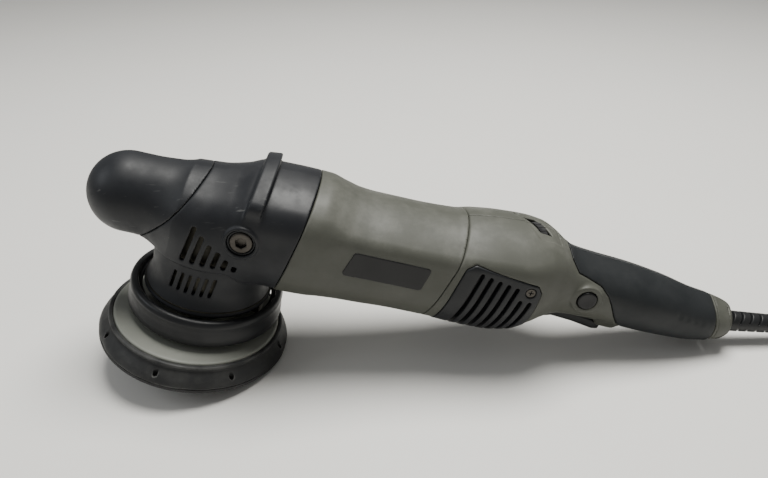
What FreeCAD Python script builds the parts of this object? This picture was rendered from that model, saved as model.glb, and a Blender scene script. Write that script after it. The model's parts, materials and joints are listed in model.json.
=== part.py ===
"""Dual action polisher, lying on its backing plate's rear rim and the tail of its handle.

Every sub-part is drawn in the tool's own axes, in millimetres: X along the motor axis towards the cord,
Z along the output spindle with 0 at the pad face, and the mid-plane of the housings at Y = 0.
The last step tilts the whole tool into its resting pose and puts the origin under its middle.
"""

import FreeCAD, Part
import math
import os

import Sketcher
from FreeCAD import Placement, Rotation, Vector

DIMENSIONS = {
    # whole tool
    "motor_axis": 90.0,
    "rest_tilt": 14.15,
    "wall": 2.6,
    "fit_gap": 0.05,
    "free_gap": 0.4,
    # backing plate and orbit
    "orbit_back": 3.0,
    "orbit_side": 7.0,
    "pad_radius": 62.5,
    "pad_face_radius": 62.0,
    "disc_radius": 54.0,
    "disc_top": 16.5,
    "centre_hole": 11.0,
    # head
    "knob_radius": 25.5,
    "knob_axis": 91.5,
    "knob_front": 82.0,
    "neck_radius": 37.0,
    "case_radius": 38.6,
    "cover_edge": 69.5,
    "shroud_radius": 50.5,
    "fin_height": 4.5,
    "side_socket_x": 20.7,
    "side_socket_z": 95.5,
    "side_thread": 4.0,
    # spindle
    "spindle_radius": 8.5,
    "spindle_mid": 7.0,
    "spindle_nose": 4.0,
    "pad_spindle_radius": 7.5,
    # bevel gears
    "gear_module": 1.25,
    "pinion_teeth": 10.0,
    "wheel_teeth": 38.0,
    "gear_face": 7.0,
    # motor
    "shaft_radius": 6.0,
    "core_radius": 18.7,
    "field_radius": 31.2,
    "commutator_radius": 12.0,
    # handle
    "grip_skin": 2.5,
    "head_seam": 51.0,
    "rear_seam": 146.0,
    "tail_seam": 343.0,
    "tail_axis": 90.8,
    "tail_radius": 18.8,
    "tail_end": 355.0,
    "trigger_hinge_x": 221.0,
    "trigger_hinge_z": 75.3,
    "lock_x": 240.0,
    "lock_z": 98.0,
    "lock_radius": 6.4,
    "dial_x": 200.0,
    "dial_z": 119.6,
    "dial_radius": 11.6,
    # cord
    "relief_radius": 7.4,
    "relief_length": 52.0,
    "cord_radius": 4.0,
}

doc = FreeCAD.newDocument("Polisher")
sheet = doc.addObject("Spreadsheet::Sheet", "Dims")


class Size(float):
    """A length worked out from the sheet, which keeps the expression that gives it."""

    def __new__(cls, value, text):
        size = super().__new__(cls, value)
        size.text = text
        return size

    def __add__(self, other):
        return Size(float(self) + float(other), f"({text_of(self)} + {text_of(other)})")

    def __sub__(self, other):
        return Size(float(self) - float(other), f"({text_of(self)} - {text_of(other)})")

    def __mul__(self, other):
        return Size(float(self) * float(other), f"({text_of(self)} * {text_of(other)})")

    def __neg__(self):
        return Size(-float(self), f"(0 - {text_of(self)})")

    __radd__ = __add__
    __rmul__ = __mul__

    def __rsub__(self, other):
        return Size(float(other) - float(self), f"({text_of(other)} - {text_of(self)})")


def text_of(number):
    """The expression of a Size, or a plain number's digits."""
    return number.text if isinstance(number, Size) else repr(float(number))


class Sizes:
    """The driving dimensions, read by name."""

    def __init__(self, numbers):
        for row, (name, value) in enumerate(numbers.items(), start=1):
            sheet.set(f"A{row}", name)
            sheet.set(f"B{row}", str(value))
            sheet.setAlias(f"B{row}", name)
            setattr(self, name, Size(value, f"Dims.{name}"))


d = Sizes(DIMENSIONS)
doc.recompute()

PIECES = {}


def keep(label, piece):
    """Registers a finished sub-part under its node name."""
    piece.Label = label
    PIECES[label] = piece
    return piece


def bind(feature, name, size):
    """Sets a property, bound to the sheet where its size comes from there."""
    if isinstance(size, Size):
        feature.setExpression(name, size.text)
    else:
        setattr(feature, name, float(size))


# ---------------------------------------------------------------- PartDesign helpers


def sketch_on(body, role, label):
    sketch = body.newObject("Sketcher::SketchObject", label)
    plane = next(item for item in body.Origin.OriginFeatures if item.Role == role)
    sketch.AttachmentSupport = [(plane, "")]
    sketch.MapMode = "FlatFace"
    return sketch


def draw_outline(sketch, points):
    """A closed outline of straight lines, with each corner held by two distances from the origin."""
    first = sketch.GeometryCount
    count = len(points)
    for start, end in zip(points, points[1:] + points[:1]):
        line = Part.LineSegment(Vector(start[0], start[1], 0), Vector(end[0], end[1], 0))
        sketch.addGeometry(line)
    for index in range(count):
        following = first + (index + 1) % count
        sketch.addConstraint(Sketcher.Constraint("Coincident", first + index, 2, following, 1))
    for index, point in enumerate(points):
        for kind, axis, size in (("DistanceX", -2, point[0]), ("DistanceY", -1, point[1])):
            hold(sketch, kind, axis, first + index, size)


def hold(sketch, kind, axis, line, size):
    """Places one corner along one axis."""
    if float(size) == 0:
        sketch.addConstraint(Sketcher.Constraint("PointOnObject", line, 1, axis))
        return
    index = sketch.addConstraint(Sketcher.Constraint(kind, -1, 1, line, 1, float(size)))
    if isinstance(size, Size):
        sketch.setExpression(f"Constraints[{index}]", size.text)


def draw_circle(sketch, centre, radius):
    index = sketch.addGeometry(Part.Circle(Vector(centre[0], centre[1], 0), Vector(0, 0, 1), float(radius)))
    for kind, axis, size in (("DistanceX", -2, centre[0]), ("DistanceY", -1, centre[1])):
        if float(size) == 0:
            sketch.addConstraint(Sketcher.Constraint("PointOnObject", index, 3, axis))
        else:
            held = sketch.addConstraint(Sketcher.Constraint(kind, -1, 1, index, 3, float(size)))
            if isinstance(size, Size):
                sketch.setExpression(f"Constraints[{held}]", size.text)
    held = sketch.addConstraint(Sketcher.Constraint("Radius", index, float(radius)))
    if isinstance(radius, Size):
        sketch.setExpression(f"Constraints[{held}]", radius.text)


ALONG_X = Rotation(Vector(0, 0, 1), Vector(1, 0, 0))
ALONG_Y = Rotation(Vector(0, 0, 1), Vector(0, 1, 0))
ALONG_Z = Rotation()


def turned(label, outline, at=(0, 0, 0), along=ALONG_Z):
    """A piece turned about its own Z axis from an outline of (radius, height) points."""
    body = doc.addObject("PartDesign::Body", label.title().replace("_", ""))
    sketch = sketch_on(body, "XZ_Plane", body.Name + "Profile")
    draw_outline(sketch, outline)
    revolution = body.newObject("PartDesign::Revolution", body.Name + "Turned")
    revolution.Profile = sketch
    revolution.ReferenceAxis = (sketch, ["V_Axis"])
    revolution.Angle = 360
    body.Placement = Placement(Vector(*[float(value) for value in at]), along)
    return keep(label, body)


def ring(label, inner, outer, low, high, at=(0, 0, 0), along=ALONG_Z):
    return turned(label, [(inner, low), (outer, low), (outer, high), (inner, high)], at, along)


def extruded(label, outline, length, at=(0, 0, 0), plane="XZ_Plane", holes=()):
    """A plate of an outline in one of the origin planes, centred on that plane, with round holes."""
    body = doc.addObject("PartDesign::Body", label.title().replace("_", ""))
    sketch = sketch_on(body, plane, body.Name + "Outline")
    draw_outline(sketch, outline)
    for centre, radius in holes:
        draw_circle(sketch, centre, radius)
    pad = body.newObject("PartDesign::Pad", body.Name + "Pad")
    pad.Profile = sketch
    pad.SideType = "Symmetric"
    bind(pad, "Length", length)
    body.Placement = Placement(Vector(*[float(value) for value in at]), Rotation())
    return keep(label, body)


# ---------------------------------------------------------------- shape helpers


def shape_piece(label, shape):
    """A sub-part whose shape comes from Part's own functions."""
    piece = doc.addObject("Part::Feature", label.title().replace("_", ""))
    piece.Shape = shape
    return keep(label, piece)


def rounded_wire(corners, rounding):
    """A closed wire through 3-D corners in one plane, with every corner rounded."""
    edges = []
    starts = []
    ends = []
    mids = []
    count = len(corners)
    for index, corner in enumerate(corners):
        back = (corners[index - 1] - corner).normalize()
        ahead = (corners[(index + 1) % count] - corner).normalize()
        half = math.acos(max(-1.0, min(1.0, back.dot(ahead)))) / 2
        reach = rounding / math.tan(half)
        middle = (back + ahead).normalize()
        starts.append(corner + back * reach)
        ends.append(corner + ahead * reach)
        mids.append(corner + middle * (rounding / math.sin(half) - rounding))
    for index in range(count):
        edges.append(Part.Arc(starts[index], mids[index], ends[index]).toShape())
        edges.append(Part.LineSegment(ends[index], starts[(index + 1) % count]).toShape())
    return Part.Wire(edges)


def section(x, top, bottom, half, rounding, inset):
    """One cross-section of the housing: upright flanks, sloping shoulders and a curved-in belly."""
    middle = (top + bottom) / 2
    height = (top - bottom) / 2 - inset
    width = half - inset
    corners = []
    for side, level in ((0.44, 1.0), (1.0, 0.58), (1.0, -0.5), (0.5, -1.0)):
        corners.append(Vector(x, side * width, middle + level * height))
    for corner in reversed(list(corners)):
        corners.append(Vector(x, -corner.y, corner.z))
    return rounded_wire(corners, max(rounding - inset, 2.0))


def skin(stations, inset=0.0):
    """A solid through housing sections given as (x, top, bottom, half width, rounding)."""
    wires = [section(*station, inset) for station in stations]
    return Part.makeLoft(wires, True, True)


def prism(corners, low, high, rounding=0.0):
    """A block along Y whose outline is given as (x, z) points."""
    points = [Vector(x, low, z) for x, z in corners]
    if rounding:
        wire = rounded_wire(points, rounding)
    else:
        wire = Part.makePolygon(points + points[:1])
    return Part.Face(wire).extrude(Vector(0, high - low, 0))


def behind(x, z, lean, reach=500.0):
    """A block that fills everything behind a plane across the tool, which leans back at its top."""
    block = Part.makeBox(reach, reach, reach, Vector(0, -reach / 2, -reach / 2))
    block.rotate(Vector(), Vector(0, 1, 0), lean)
    block.translate(Vector(x, 0, z))
    return block


def rod(radius, start, direction, length):
    return Part.makeCylinder(float(radius), float(length), Vector(*start), Vector(*direction))


# ---------------------------------------------------------------- housings

# (x, top, bottom, half width, rounding) of the outer skin
HEAD_STATIONS = [
    (-46.0, 115.0, 68.0, 23.5, 13.0),
    (-22.0, 115.6, 67.0, 24.5, 13.5),
    (-4.0, 118.0, 64.0, 28.0, 14.0),
    (10.0, 123.6, 60.0, 35.0, 15.0),
    (22.0, 128.6, 56.0, 39.0, 15.0),
    (40.0, 129.6, 53.0, 40.0, 15.0),
    (60.0, 129.4, 52.0, 40.0, 15.0),
]
MOTOR_STATIONS = [
    (40.0, 129.5, 52.2, 40.0, 15.0),
    (58.0, 128.6, 51.8, 40.0, 15.0),
    (68.0, 126.6, 51.8, 38.8, 15.0),
    (78.0, 124.8, 52.6, 37.4, 15.0),
    (94.0, 124.2, 53.6, 36.6, 15.0),
    (120.0, 124.2, 54.8, 36.5, 15.0),
    (148.0, 125.6, 54.8, 36.8, 15.0),
    (157.0, 127.6, 54.6, 37.5, 15.0),
]
REAR_STATIONS = [
    (134.0, 124.4, 55.0, 36.5, 15.0),
    (148.0, 125.6, 54.8, 36.8, 15.0),
    (160.0, 128.4, 54.4, 37.8, 15.0),
    (178.0, 130.8, 54.6, 38.6, 15.0),
    (196.0, 131.8, 57.0, 38.2, 15.0),
    (207.0, 131.0, 61.5, 36.4, 14.0),
    (215.0, 128.6, 66.0, 33.0, 13.0),
    (222.0, 125.4, 69.0, 29.0, 12.0),
    (230.0, 122.6, 70.6, 26.2, 12.0),
    (246.0, 121.2, 71.2, 25.0, 12.0),
    (270.0, 120.2, 70.8, 24.8, 12.0),
    (296.0, 117.6, 69.8, 24.0, 12.0),
    (322.0, 113.0, 69.6, 21.8, 12.0),
    (336.0, 110.8, 71.0, 20.0, 12.0),
    (352.0, 108.6, 72.6, 18.6, 12.0),
]
HEAD_LEAN = 10.0
REAR_LEAN = 13.0
TAIL_LEAN = -9.0

axis_z = float(d.motor_axis)
wall = float(d.wall)
gap = float(d.free_gap)
head_split = behind(float(d.head_seam), axis_z, HEAD_LEAN)
rear_split = behind(float(d.rear_seam), axis_z, REAR_LEAN)
tail_split = behind(float(d.tail_seam), axis_z, TAIL_LEAN)
socket_x = float(d.side_socket_x)
socket_z = float(d.side_socket_z)


def gear_case_form(inset, base):
    """The upright case round the bevel gears, domed at its top edge."""
    radius = float(d.case_radius) - inset
    top = 112.0 - inset
    case = Part.makeCylinder(radius, top - base, Vector(0, 0, base))
    rim = [edge for edge in case.Edges if edge.BoundBox.ZMin > top - 1 and edge.Length > radius]
    return case.makeFillet(16.0 - inset, rim)


def slanted_slot(foot, head, width, low, high):
    """A slot cut across Y between two (x, z) ends."""
    x0, z0 = foot
    x1, z1 = head
    along = Vector(x1 - x0, 0, z1 - z0).normalize()
    side = Vector(along.z, 0, -along.x) * (width / 2)
    base = Vector(x0, low, z0)
    tip = Vector(x1, low, z1)
    corners = [base - side, tip - side, tip + side, base + side]
    block = Part.Face(Part.makePolygon(corners + corners[:1])).extrude(Vector(0, high - low, 0))
    for centre in (base, tip):
        block = block.fuse(Part.makeCylinder(width / 2, high - low, centre, Vector(0, 1, 0)))
    return block


UPPER_SLOTS = 6
UPPER_PITCH = 6.2
UPPER_FOOT = (-12.3, 74.6)
UPPER_LENGTHS = (22.0, 17.5, 13.0, 9.5, 5.0, 1.5)
UPPER_SLANT = 0.23
LOWER_SLOTS = 6
LOWER_PITCH = 4.9
LOWER_FOOT = (-18.0, 50.4)
LOWER_LENGTH = 12.0
LOWER_SLANT = 0.2


def head_slots(low, high):
    """The upper row of vents, whose tops step down round the side-handle boss."""
    slots = []
    for index in range(UPPER_SLOTS):
        foot = (UPPER_FOOT[0] + index * UPPER_PITCH, UPPER_FOOT[1])
        length = UPPER_LENGTHS[index]
        head = (foot[0] + UPPER_SLANT * length, foot[1] + length)
        slots.append(slanted_slot(foot, head, 2.8, low, high))
    return slots


def neck_slots(low, high):
    slots = []
    for index in range(LOWER_SLOTS):
        foot = (LOWER_FOOT[0] + index * LOWER_PITCH, LOWER_FOOT[1])
        head = (foot[0] + LOWER_SLANT * LOWER_LENGTH, foot[1] + LOWER_LENGTH)
        slots.append(slanted_slot(foot, head, 1.8, low, high))
    return slots


KNOB_LEAN = 36.6
KNOB_SEAM = (-27.5, 94.0)


def knob_split(offset):
    """Everything behind the grip cap's slanting joint, moved back by an offset along its normal."""
    angle = math.radians(KNOB_LEAN)
    x = KNOB_SEAM[0] + offset * math.cos(angle)
    z = KNOB_SEAM[1] - offset * math.sin(angle)
    return behind(x, z, KNOB_LEAN)


def neck_room():
    """The space of the neck below the cover, with a free gap round it."""
    radius = float(d.neck_radius) + gap
    outline = [(0, 30.0), (radius + 6.0, 30.0), (radius + 6.0, 42.0), (radius + 2.0, 52.0), (radius, 60.0),
               (radius, float(d.cover_edge)), (0, float(d.cover_edge))]
    path = Part.makePolygon([Vector(r, 0, z) for r, z in outline + outline[:1]])
    return Part.Face(path).revolve(Vector(), Vector(0, 0, 1), 360)


def build_head_cover():
    outer = skin(HEAD_STATIONS).fuse(gear_case_form(0.0, float(d.cover_edge)))
    inner = skin(HEAD_STATIONS, wall).fuse(gear_case_form(wall, float(d.cover_edge) - 1))
    cover = outer.cut(inner)
    cover = cover.cut(neck_room())
    front = knob_split(0.3)
    cover = cover.common(front).cut(head_split)
    fin_band = Part.makeBox(5.0, 52.0, 40.0, Vector(24.5, -26.0, 104.0))
    raised = [(x, top + float(d.fin_height), bottom, half + 1.5, 13.0)
              for x, top, bottom, half, _ in HEAD_STATIONS[3:]]
    fin = skin(raised).common(fin_band).cut(skin(HEAD_STATIONS, wall / 2))
    cover = cover.fuse(fin)
    for slot in head_slots(-60.0, 60.0):
        cover = cover.cut(slot)
    for side in (-1, 1):
        cover = cover.cut(rod(10.6, (socket_x, side * 20.0, socket_z), (0, side, 0), 40.0))
    return largest(cover)


def largest(shape):
    """The biggest solid of a shape, without slivers that a cut left behind."""
    return max(shape.Solids, key=lambda solid: solid.Volume)


shape_piece("head_cover", build_head_cover())


def build_grip_cap():
    """Soft palm knob: a capsule along X, hollow, cut by its slanting joint."""
    radius = float(d.knob_radius)
    centre = Vector(radius - float(d.knob_front), 0, float(d.knob_axis))
    outer = Part.makeSphere(radius, centre).fuse(Part.makeCylinder(radius, 60.0, centre, Vector(1, 0, 0)))
    hollow = radius - 3.6
    inner = Part.makeSphere(hollow, centre).fuse(Part.makeCylinder(hollow, 60.0, centre, Vector(1, 0, 0)))
    return largest(outer.cut(inner).cut(knob_split(0.0)))


shape_piece("front_grip_cap", build_grip_cap())

turned("neck_cover", [
    (d.neck_radius - d.wall, d.cover_edge - 0.3),
    (d.neck_radius - d.wall, 58.0),
    (d.neck_radius - d.wall + 1.2, 52.0),
    (d.neck_radius - d.wall + 4.0, 44.0),
    (43.0, 38.0),
    (46.0, 38.0),
    (d.neck_radius + 5.2, 43.0),
    (d.neck_radius + 2.0, 52.0),
    (d.neck_radius, 60.0),
    (d.neck_radius, d.cover_edge - 0.3),
])


def cut_from(label, tools):
    """Replaces a kept piece by itself less the given shapes."""
    base = PIECES[label]
    base.Label = label + "_blank"
    doc.recompute()
    tool = doc.addObject("Part::Feature", base.Name + "Tool")
    tool.Shape = Part.makeCompound(tools)
    result = doc.addObject("Part::Cut", base.Name + "Cut")
    result.Base = base
    result.Tool = tool
    return keep(label, result)


motor_arm_hole = rod(29.0 + gap, (0, 0, axis_z), (1, 0, 0), 60.0)
cut_from("neck_cover", neck_slots(-60.0, 60.0) + [motor_arm_hole])

turned("shroud_ring", [
    (d.shroud_radius - 3.2, 21.0),
    (d.shroud_radius + 0.6, 21.0),
    (d.shroud_radius + 1.2, 24.0),
    (d.shroud_radius + 0.6, 32.6),
    (d.shroud_radius + 1.8, 34.4),
    (d.shroud_radius + 1.8, 37.0),
    (d.shroud_radius + 0.4, 38.8),
    (d.shroud_radius - 2.4, 39.2),
    (d.shroud_radius - 3.6, 38.0),
    (d.shroud_radius - 3.6, 35.0),
    (41.0, 34.6),
    (41.0, 32.6),
    (d.shroud_radius - 3.2, 32.0),
])

# ---------------------------------------------------------------- cast gear housing


def build_gear_housing():
    """Cast case: upright gear chamber, motor flange, nose inside the grip and side-handle bosses."""
    case = Part.makeCylinder(33.2, 56.0, Vector(0, 0, 41.0))
    crown = Part.makeCone(33.2, 19.0, 11.0, Vector(0, 0, 97.0))
    foot = Part.makeCylinder(40.6, 4.0, Vector(0, 0, 37.0)).cut(Part.makeCylinder(33.0, 4.0, Vector(0, 0, 37.0)))
    foot = foot.fuse(Part.makeCylinder(34.4, 3.0, Vector(0, 0, 41.0)))
    nose = rod(19.0, (-58.0, 0, float(d.knob_axis)), (1, 0, 0), 40.0)
    arm = rod(29.0, (10.0, 0, axis_z), (1, 0, 0), 35.0)
    flange = rod(34.0, (42.6, 0, axis_z), (1, 0, 0), 3.0)
    body = case.fuse([crown, foot, nose, arm, flange])
    bosses = [rod(10.0, (socket_x, side * 22.0, socket_z), (0, side, 0), 14.1) for side in (-1, 1)]
    body = body.fuse(bosses)
    chamber = Part.makeCylinder(27.0, 41.0, Vector(0, 0, 57.0))
    cuts = [
        chamber,
        rod(16.0, (-55.0, 0, float(d.knob_axis)), (1, 0, 0), 24.0),
        Part.makeCylinder(17.5, 10.0, Vector(0, 0, 42.0)),
        Part.makeCylinder(14.0, 40.0, Vector(0, 0, 36.0)),
        Part.makeCylinder(18.5, 1.6, Vector(0, 0, 40.4)),
        Part.makeCylinder(11.0, 7.0, Vector(0, 0, 98.0)),
        rod(14.0, (34.0, 0, axis_z), (1, 0, 0), 20.0),
        rod(9.0, (15.0, 0, axis_z), (1, 0, 0), 25.0),
    ]
    for side in (-1, 1):
        cuts.append(rod(float(d.side_thread), (socket_x, side * 21.0, socket_z), (0, side, 0), 20.0))
    return largest(body.cut(cuts))


shape_piece("gear_housing", build_gear_housing())

# ---------------------------------------------------------------- motor housing, rear and handle shells


def build_motor_housing():
    shell = skin(MOTOR_STATIONS).cut(skin(MOTOR_STATIONS, wall))
    return largest(shell.common(head_split).cut(rear_split))


shape_piece("motor_housing", build_motor_housing())

GRIP_OUTLINE = [
    (219.0, 160.0),
    (219.5, 126.0),
    (227.0, 115.0),
    (235.0, 110.5),
    (247.0, 108.0),
    (259.0, 98.0),
    (270.0, 84.0),
    (283.0, 66.0),
    (283.0, 20.0),
    (380.0, 20.0),
    (380.0, 160.0),
]
GRILLE_OUTLINE = [(161.0, 116.0), (204.5, 106.0), (204.5, 44.0), (144.0, 44.0)]
GRILLE_SLOTS = 7
GRILLE_PITCH = 6.1
BUTTON_RING = 9.6


def rear_outer():
    """Rear housing and handle in one skin, with the lobe behind the trigger and the button's boss."""
    body = skin(REAR_STATIONS)
    lobe = prism([(262.0, 84.0), (277.0, 84.0), (275.0, 70.4), (266.0, 70.0)], -9.0, 9.0, 2.0)
    boss = rod(BUTTON_RING, (float(d.lock_x), -18.0, float(d.lock_z)), (0, -1, 0), 7.0)
    return body.fuse([lobe, boss])


def dial_window(half_x, half_y, low, high):
    """A skewed opening over the thumbwheel."""
    centre = Vector(float(d.dial_x), 0, 0)
    skew = 3.6
    corners = [
        centre + Vector(-half_x - skew, half_y, low),
        centre + Vector(half_x - skew, half_y, low),
        centre + Vector(half_x + skew, -half_y, low),
        centre + Vector(-half_x + skew, -half_y, low),
    ]
    return Part.Face(Part.makePolygon(corners + corners[:1])).extrude(Vector(0, 0, high - low))


def build_rear_shells():
    """The two half shells of the rear housing and handle, the grips over them and the two grilles."""
    outer = rear_outer().common(rear_split)
    hollow = skin(REAR_STATIONS, wall).cut(behind(212.0, axis_z, 0.0))
    core = skin(REAR_STATIONS, float(d.grip_skin) + wall + 0.1).common(behind(211.0, axis_z, 0.0))
    grip_zone = prism(GRIP_OUTLINE, -60.0, 60.0)
    under_grip = skin(REAR_STATIONS, float(d.grip_skin))
    grip = outer.common(grip_zone).cut(under_grip).cut(tail_split)
    shell = outer.cut(hollow).cut(core).cut(tail_split)
    shell = shell.cut(prism(GRIP_OUTLINE, -60.0, 60.0).cut(under_grip))
    grille_zone = prism(GRILLE_OUTLINE, -60.0, 60.0, 6.0)
    belly_keep = Part.makeBox(80.0, 16.0, 60.0, Vector(140.0, -8.0, 30.0))
    grille_zone = grille_zone.cut(belly_keep)
    grille = shell.common(grille_zone)
    grille = grille.cut(skin(REAR_STATIONS, wall - 0.6))
    shell = shell.cut(grille)
    shell = shell.cut(grille_breather())
    trigger_slot = Part.makeBox(53.0, 14.0, 22.0, Vector(float(d.trigger_hinge_x) - 4.6, -7.0, 60.0))
    shell = shell.cut(trigger_slot)
    shell = shell.cut(rod(float(d.lock_radius) + 0.3, (float(d.lock_x), -10.0, float(d.lock_z)), (0, -1, 0), 20.0))
    shell = shell.cut(dial_window(4.2, 9.0, 110.0, 140.0))
    return shell, grip, grille


def grille_breather():
    """The opening behind each grille, a little smaller than the grille itself."""
    inner = [(162.0, 109.0), (192.0, 103.0), (198.0, 94.0), (198.0, 61.0), (156.0, 61.0)]
    return prism(inner, -60.0, -12.0).fuse(prism(inner, 12.0, 60.0))


def half_of(shape, side):
    """The part of a shape on one side of the mid-plane."""
    reach = 500.0
    low = -reach if side < 0 else 0.0
    return largest(shape.common(Part.makeBox(2 * reach, reach, reach, Vector(-reach, low, -reach / 2))))


rear_shell, grip_shell, grille_shell = build_rear_shells()
for name, side in (("left", -1), ("right", 1)):
    shape_piece(f"handle_shell_{name}", half_of(rear_shell, side))
    shape_piece(f"grip_{name}", half_of(grip_shell, side))
    grille_half = half_of(grille_shell, side)
    for slot_index in range(GRILLE_SLOTS):
        slot_x = 159.0 + slot_index * GRILLE_PITCH
        slot_foot = (slot_x - 1.5, 57.0)
        slot_head = (slot_x + 4.0, 106.0 - 1.1 * slot_index if slot_index < GRILLE_SLOTS - 2 else 93.0)
        slot_low, slot_high = (-60.0, -12.0) if side < 0 else (12.0, 60.0)
        grille_half = grille_half.cut(slanted_slot(slot_foot, slot_head, 2.6, slot_low, slot_high))
    shape_piece(f"vent_grille_{name}", largest(grille_half))


def build_tail_cap():
    """Rounded end of the handle, with the cord's hole on its axis."""
    radius = float(d.tail_radius)
    end = float(d.tail_end)
    centre = Vector(0, 0, float(d.tail_axis))
    start = 325.0
    body = Part.makeCylinder(radius, end - start, centre + Vector(start, 0, 0), Vector(1, 0, 0))
    rim = [edge for edge in body.Edges if edge.BoundBox.XMin > end - 1 and edge.Length > radius]
    body = body.makeFillet(11.0, rim)
    hollow = Part.makeCylinder(radius - 4.0, 24.0, centre + Vector(start, 0, 0), Vector(1, 0, 0))
    body = body.cut(hollow).common(tail_split)
    return body.cut(relief_rod(float(d.relief_radius) + 0.02, -16.0, 40.0))


RELIEF_RISE = 9.0
RELIEF_START = Vector(float(d.tail_end) - 4.0, 0, 91.0)
relief_turn = math.radians(RELIEF_RISE)
RELIEF_AXIS = Vector(math.cos(relief_turn), 0, math.sin(relief_turn))


def relief_rod(radius, start, length, tip=None):
    """A rod or cone along the strain relief's axis."""
    base = RELIEF_START + RELIEF_AXIS * start
    if tip is None:
        return Part.makeCylinder(radius, length, base, RELIEF_AXIS)
    return Part.makeCone(radius, tip, length, base, RELIEF_AXIS)


shape_piece("tail_cap", build_tail_cap())

flange_disc = relief_rod(float(d.relief_radius) + 2.2, -13.0, 3.0)
relief_body = relief_rod(float(d.relief_radius), -13.0, 13.0)
relief_taper = relief_rod(float(d.relief_radius), 0.0, float(d.relief_length), 6.2)
shape_piece("strain_relief", flange_disc.fuse([relief_body, relief_taper]).removeSplitter())

# ---------------------------------------------------------------- backing plate

pad_at = (-d.orbit_back, -d.orbit_side, 0)
ring("hook_face", d.centre_hole, d.pad_face_radius, 0.0, 2.0, pad_at)


def build_pad_body():
    """Soft urethane cone with a ring of small vent holes near its rim."""
    outer = float(d.pad_radius)
    disc = float(d.disc_radius)
    points = [(float(d.centre_hole), 2.0), (outer - 0.5, 2.0), (outer, 2.8), (outer, 4.4), (disc + 1.8, 13.2),
              (disc + 0.9, 15.2), (disc + 0.1, 15.2), (disc + 0.1, 13.0), (7.2, 13.0), (7.2, 7.4),
              (float(d.centre_hole), 7.4)]
    path = Part.makePolygon([Vector(r, 0, z) for r, z in points + points[:1]])
    body = Part.Face(path).revolve(Vector(), Vector(0, 0, 1), 360)
    count = 8
    for index in range(count):
        angle = math.radians(-56.0 + index * 360.0 / count)
        place = Vector(58.4 * math.cos(angle), 58.4 * math.sin(angle), 5.0)
        body = body.cut(Part.makeCylinder(1.5, 12.0, place, Vector(0, 0, 1)))
    body.translate(Vector(-float(d.orbit_back), -float(d.orbit_side), 0))
    return body


shape_piece("pad_body", build_pad_body())
turned("plate_disc", [
    (9.0, 13.0), (d.disc_radius, 13.0), (d.disc_radius, 15.6), (d.disc_radius - 0.8, d.disc_top),
    (20.0, d.disc_top), (16.0, 18.6), (9.0, 18.6),
], pad_at)
turned("plate_hub", [
    (4.1, 13.0), (9.0, 13.0), (9.0, 18.6), (10.0, 18.6), (10.0, 21.0), (4.1, 21.0),
], pad_at)
turned("pad_bolt", [
    (0, 11.6), (2.4, 11.6), (2.4, 8.0), (6.6, 8.0), (6.6, 13.0), (4.0, 13.0), (4.0, 33.0), (0, 33.0),
], pad_at)
turned("pad_spindle", [
    (4.0, 21.0), (12.0, 21.0), (12.0, 23.6), (d.pad_spindle_radius - d.fit_gap, 23.6),
    (d.pad_spindle_radius - d.fit_gap, 34.6), (4.0, 34.6),
], pad_at)

# ---------------------------------------------------------------- spindle, counterweight and bearings


def build_counterweight():
    """Eccentric head with its bearing seat on one side and a steel sector on the other."""
    hub = Part.makeCylinder(19.5, 12.6, Vector(-float(d.orbit_back), -float(d.orbit_side), 25.0))
    hub = hub.fuse(Part.makeCylinder(16.0, 4.6, Vector(0, 0, 35.0)))
    sector = Part.makeCylinder(38.0, 9.0, Vector(0, 0, 25.4))
    heading = math.degrees(math.atan2(float(d.orbit_side), float(d.orbit_back)))
    side = Part.makeBox(90.0, 90.0, 20.0, Vector(4.0, -45.0, 24.0))
    side.rotate(Vector(), Vector(0, 0, 1), heading)
    body = hub.fuse(sector.common(side))
    seat = Part.makeCylinder(16.0, 9.0, Vector(-float(d.orbit_back), -float(d.orbit_side), 25.0))
    relief = Part.makeCylinder(11.0, 11.6, Vector(-float(d.orbit_back), -float(d.orbit_side), 24.0))
    mouth = Part.makeCylinder(float(d.spindle_radius), 10.0, Vector(0, 0, 36.6))
    return largest(body.cut([seat, relief, mouth]).removeSplitter())


shape_piece("counterweight", build_counterweight())
ring("eccentric_bearing", d.pad_spindle_radius, 16.0, 25.0, 34.0, pad_at)
turned("output_spindle", [
    (0, 36.6), (d.spindle_radius, 36.6), (d.spindle_radius, 57.0), (9.6, 57.0), (9.6, 60.0),
    (d.spindle_mid, 60.0), (d.spindle_mid, 92.0), (d.spindle_nose, 93.0), (d.spindle_nose, 104.6), (0, 104.6),
])
ring("spindle_bearing", d.spindle_radius + d.fit_gap, 17.5, 42.0, 52.0)
ring("spindle_top_bearing", d.spindle_nose + d.fit_gap, 11.0, 98.0, 105.0)
ring("bearing_retainer", 11.0, 18.5, 40.4, 42.0)

# ---------------------------------------------------------------- bevel gears

PRESSURE_ANGLE = math.radians(20.0)
ADDENDUM = 0.8
DEDENDUM = 1.1
BACKLASH = 0.22


def involute(angle):
    return math.tan(angle) - angle


def tooth_outline(teeth, cone, scale):
    """Half widths of one tooth on the back cone, as (height above pitch, half width) from root to tip."""
    module = float(d.gear_module) * scale
    pitch = module * teeth / math.cos(cone) / 2
    base = pitch * math.cos(PRESSURE_ANGLE)
    steps = 5
    flank = []
    for step in range(steps + 1):
        height = (-DEDENDUM + (DEDENDUM + ADDENDUM) * step / steps) * module
        radius = pitch + height
        pressure = math.acos(base / radius) if radius > base else 0.0
        half = math.pi * pitch / (pitch * 2 * teeth / math.cos(cone)) + involute(PRESSURE_ANGLE)
        half = half - involute(pressure) - BACKLASH * module / (2 * pitch)
        flank.append((radius * math.cos(half) - pitch, radius * math.sin(half)))
    flank[0] = (flank[0][0] - 0.35 * module, flank[0][1])
    return flank


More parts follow.
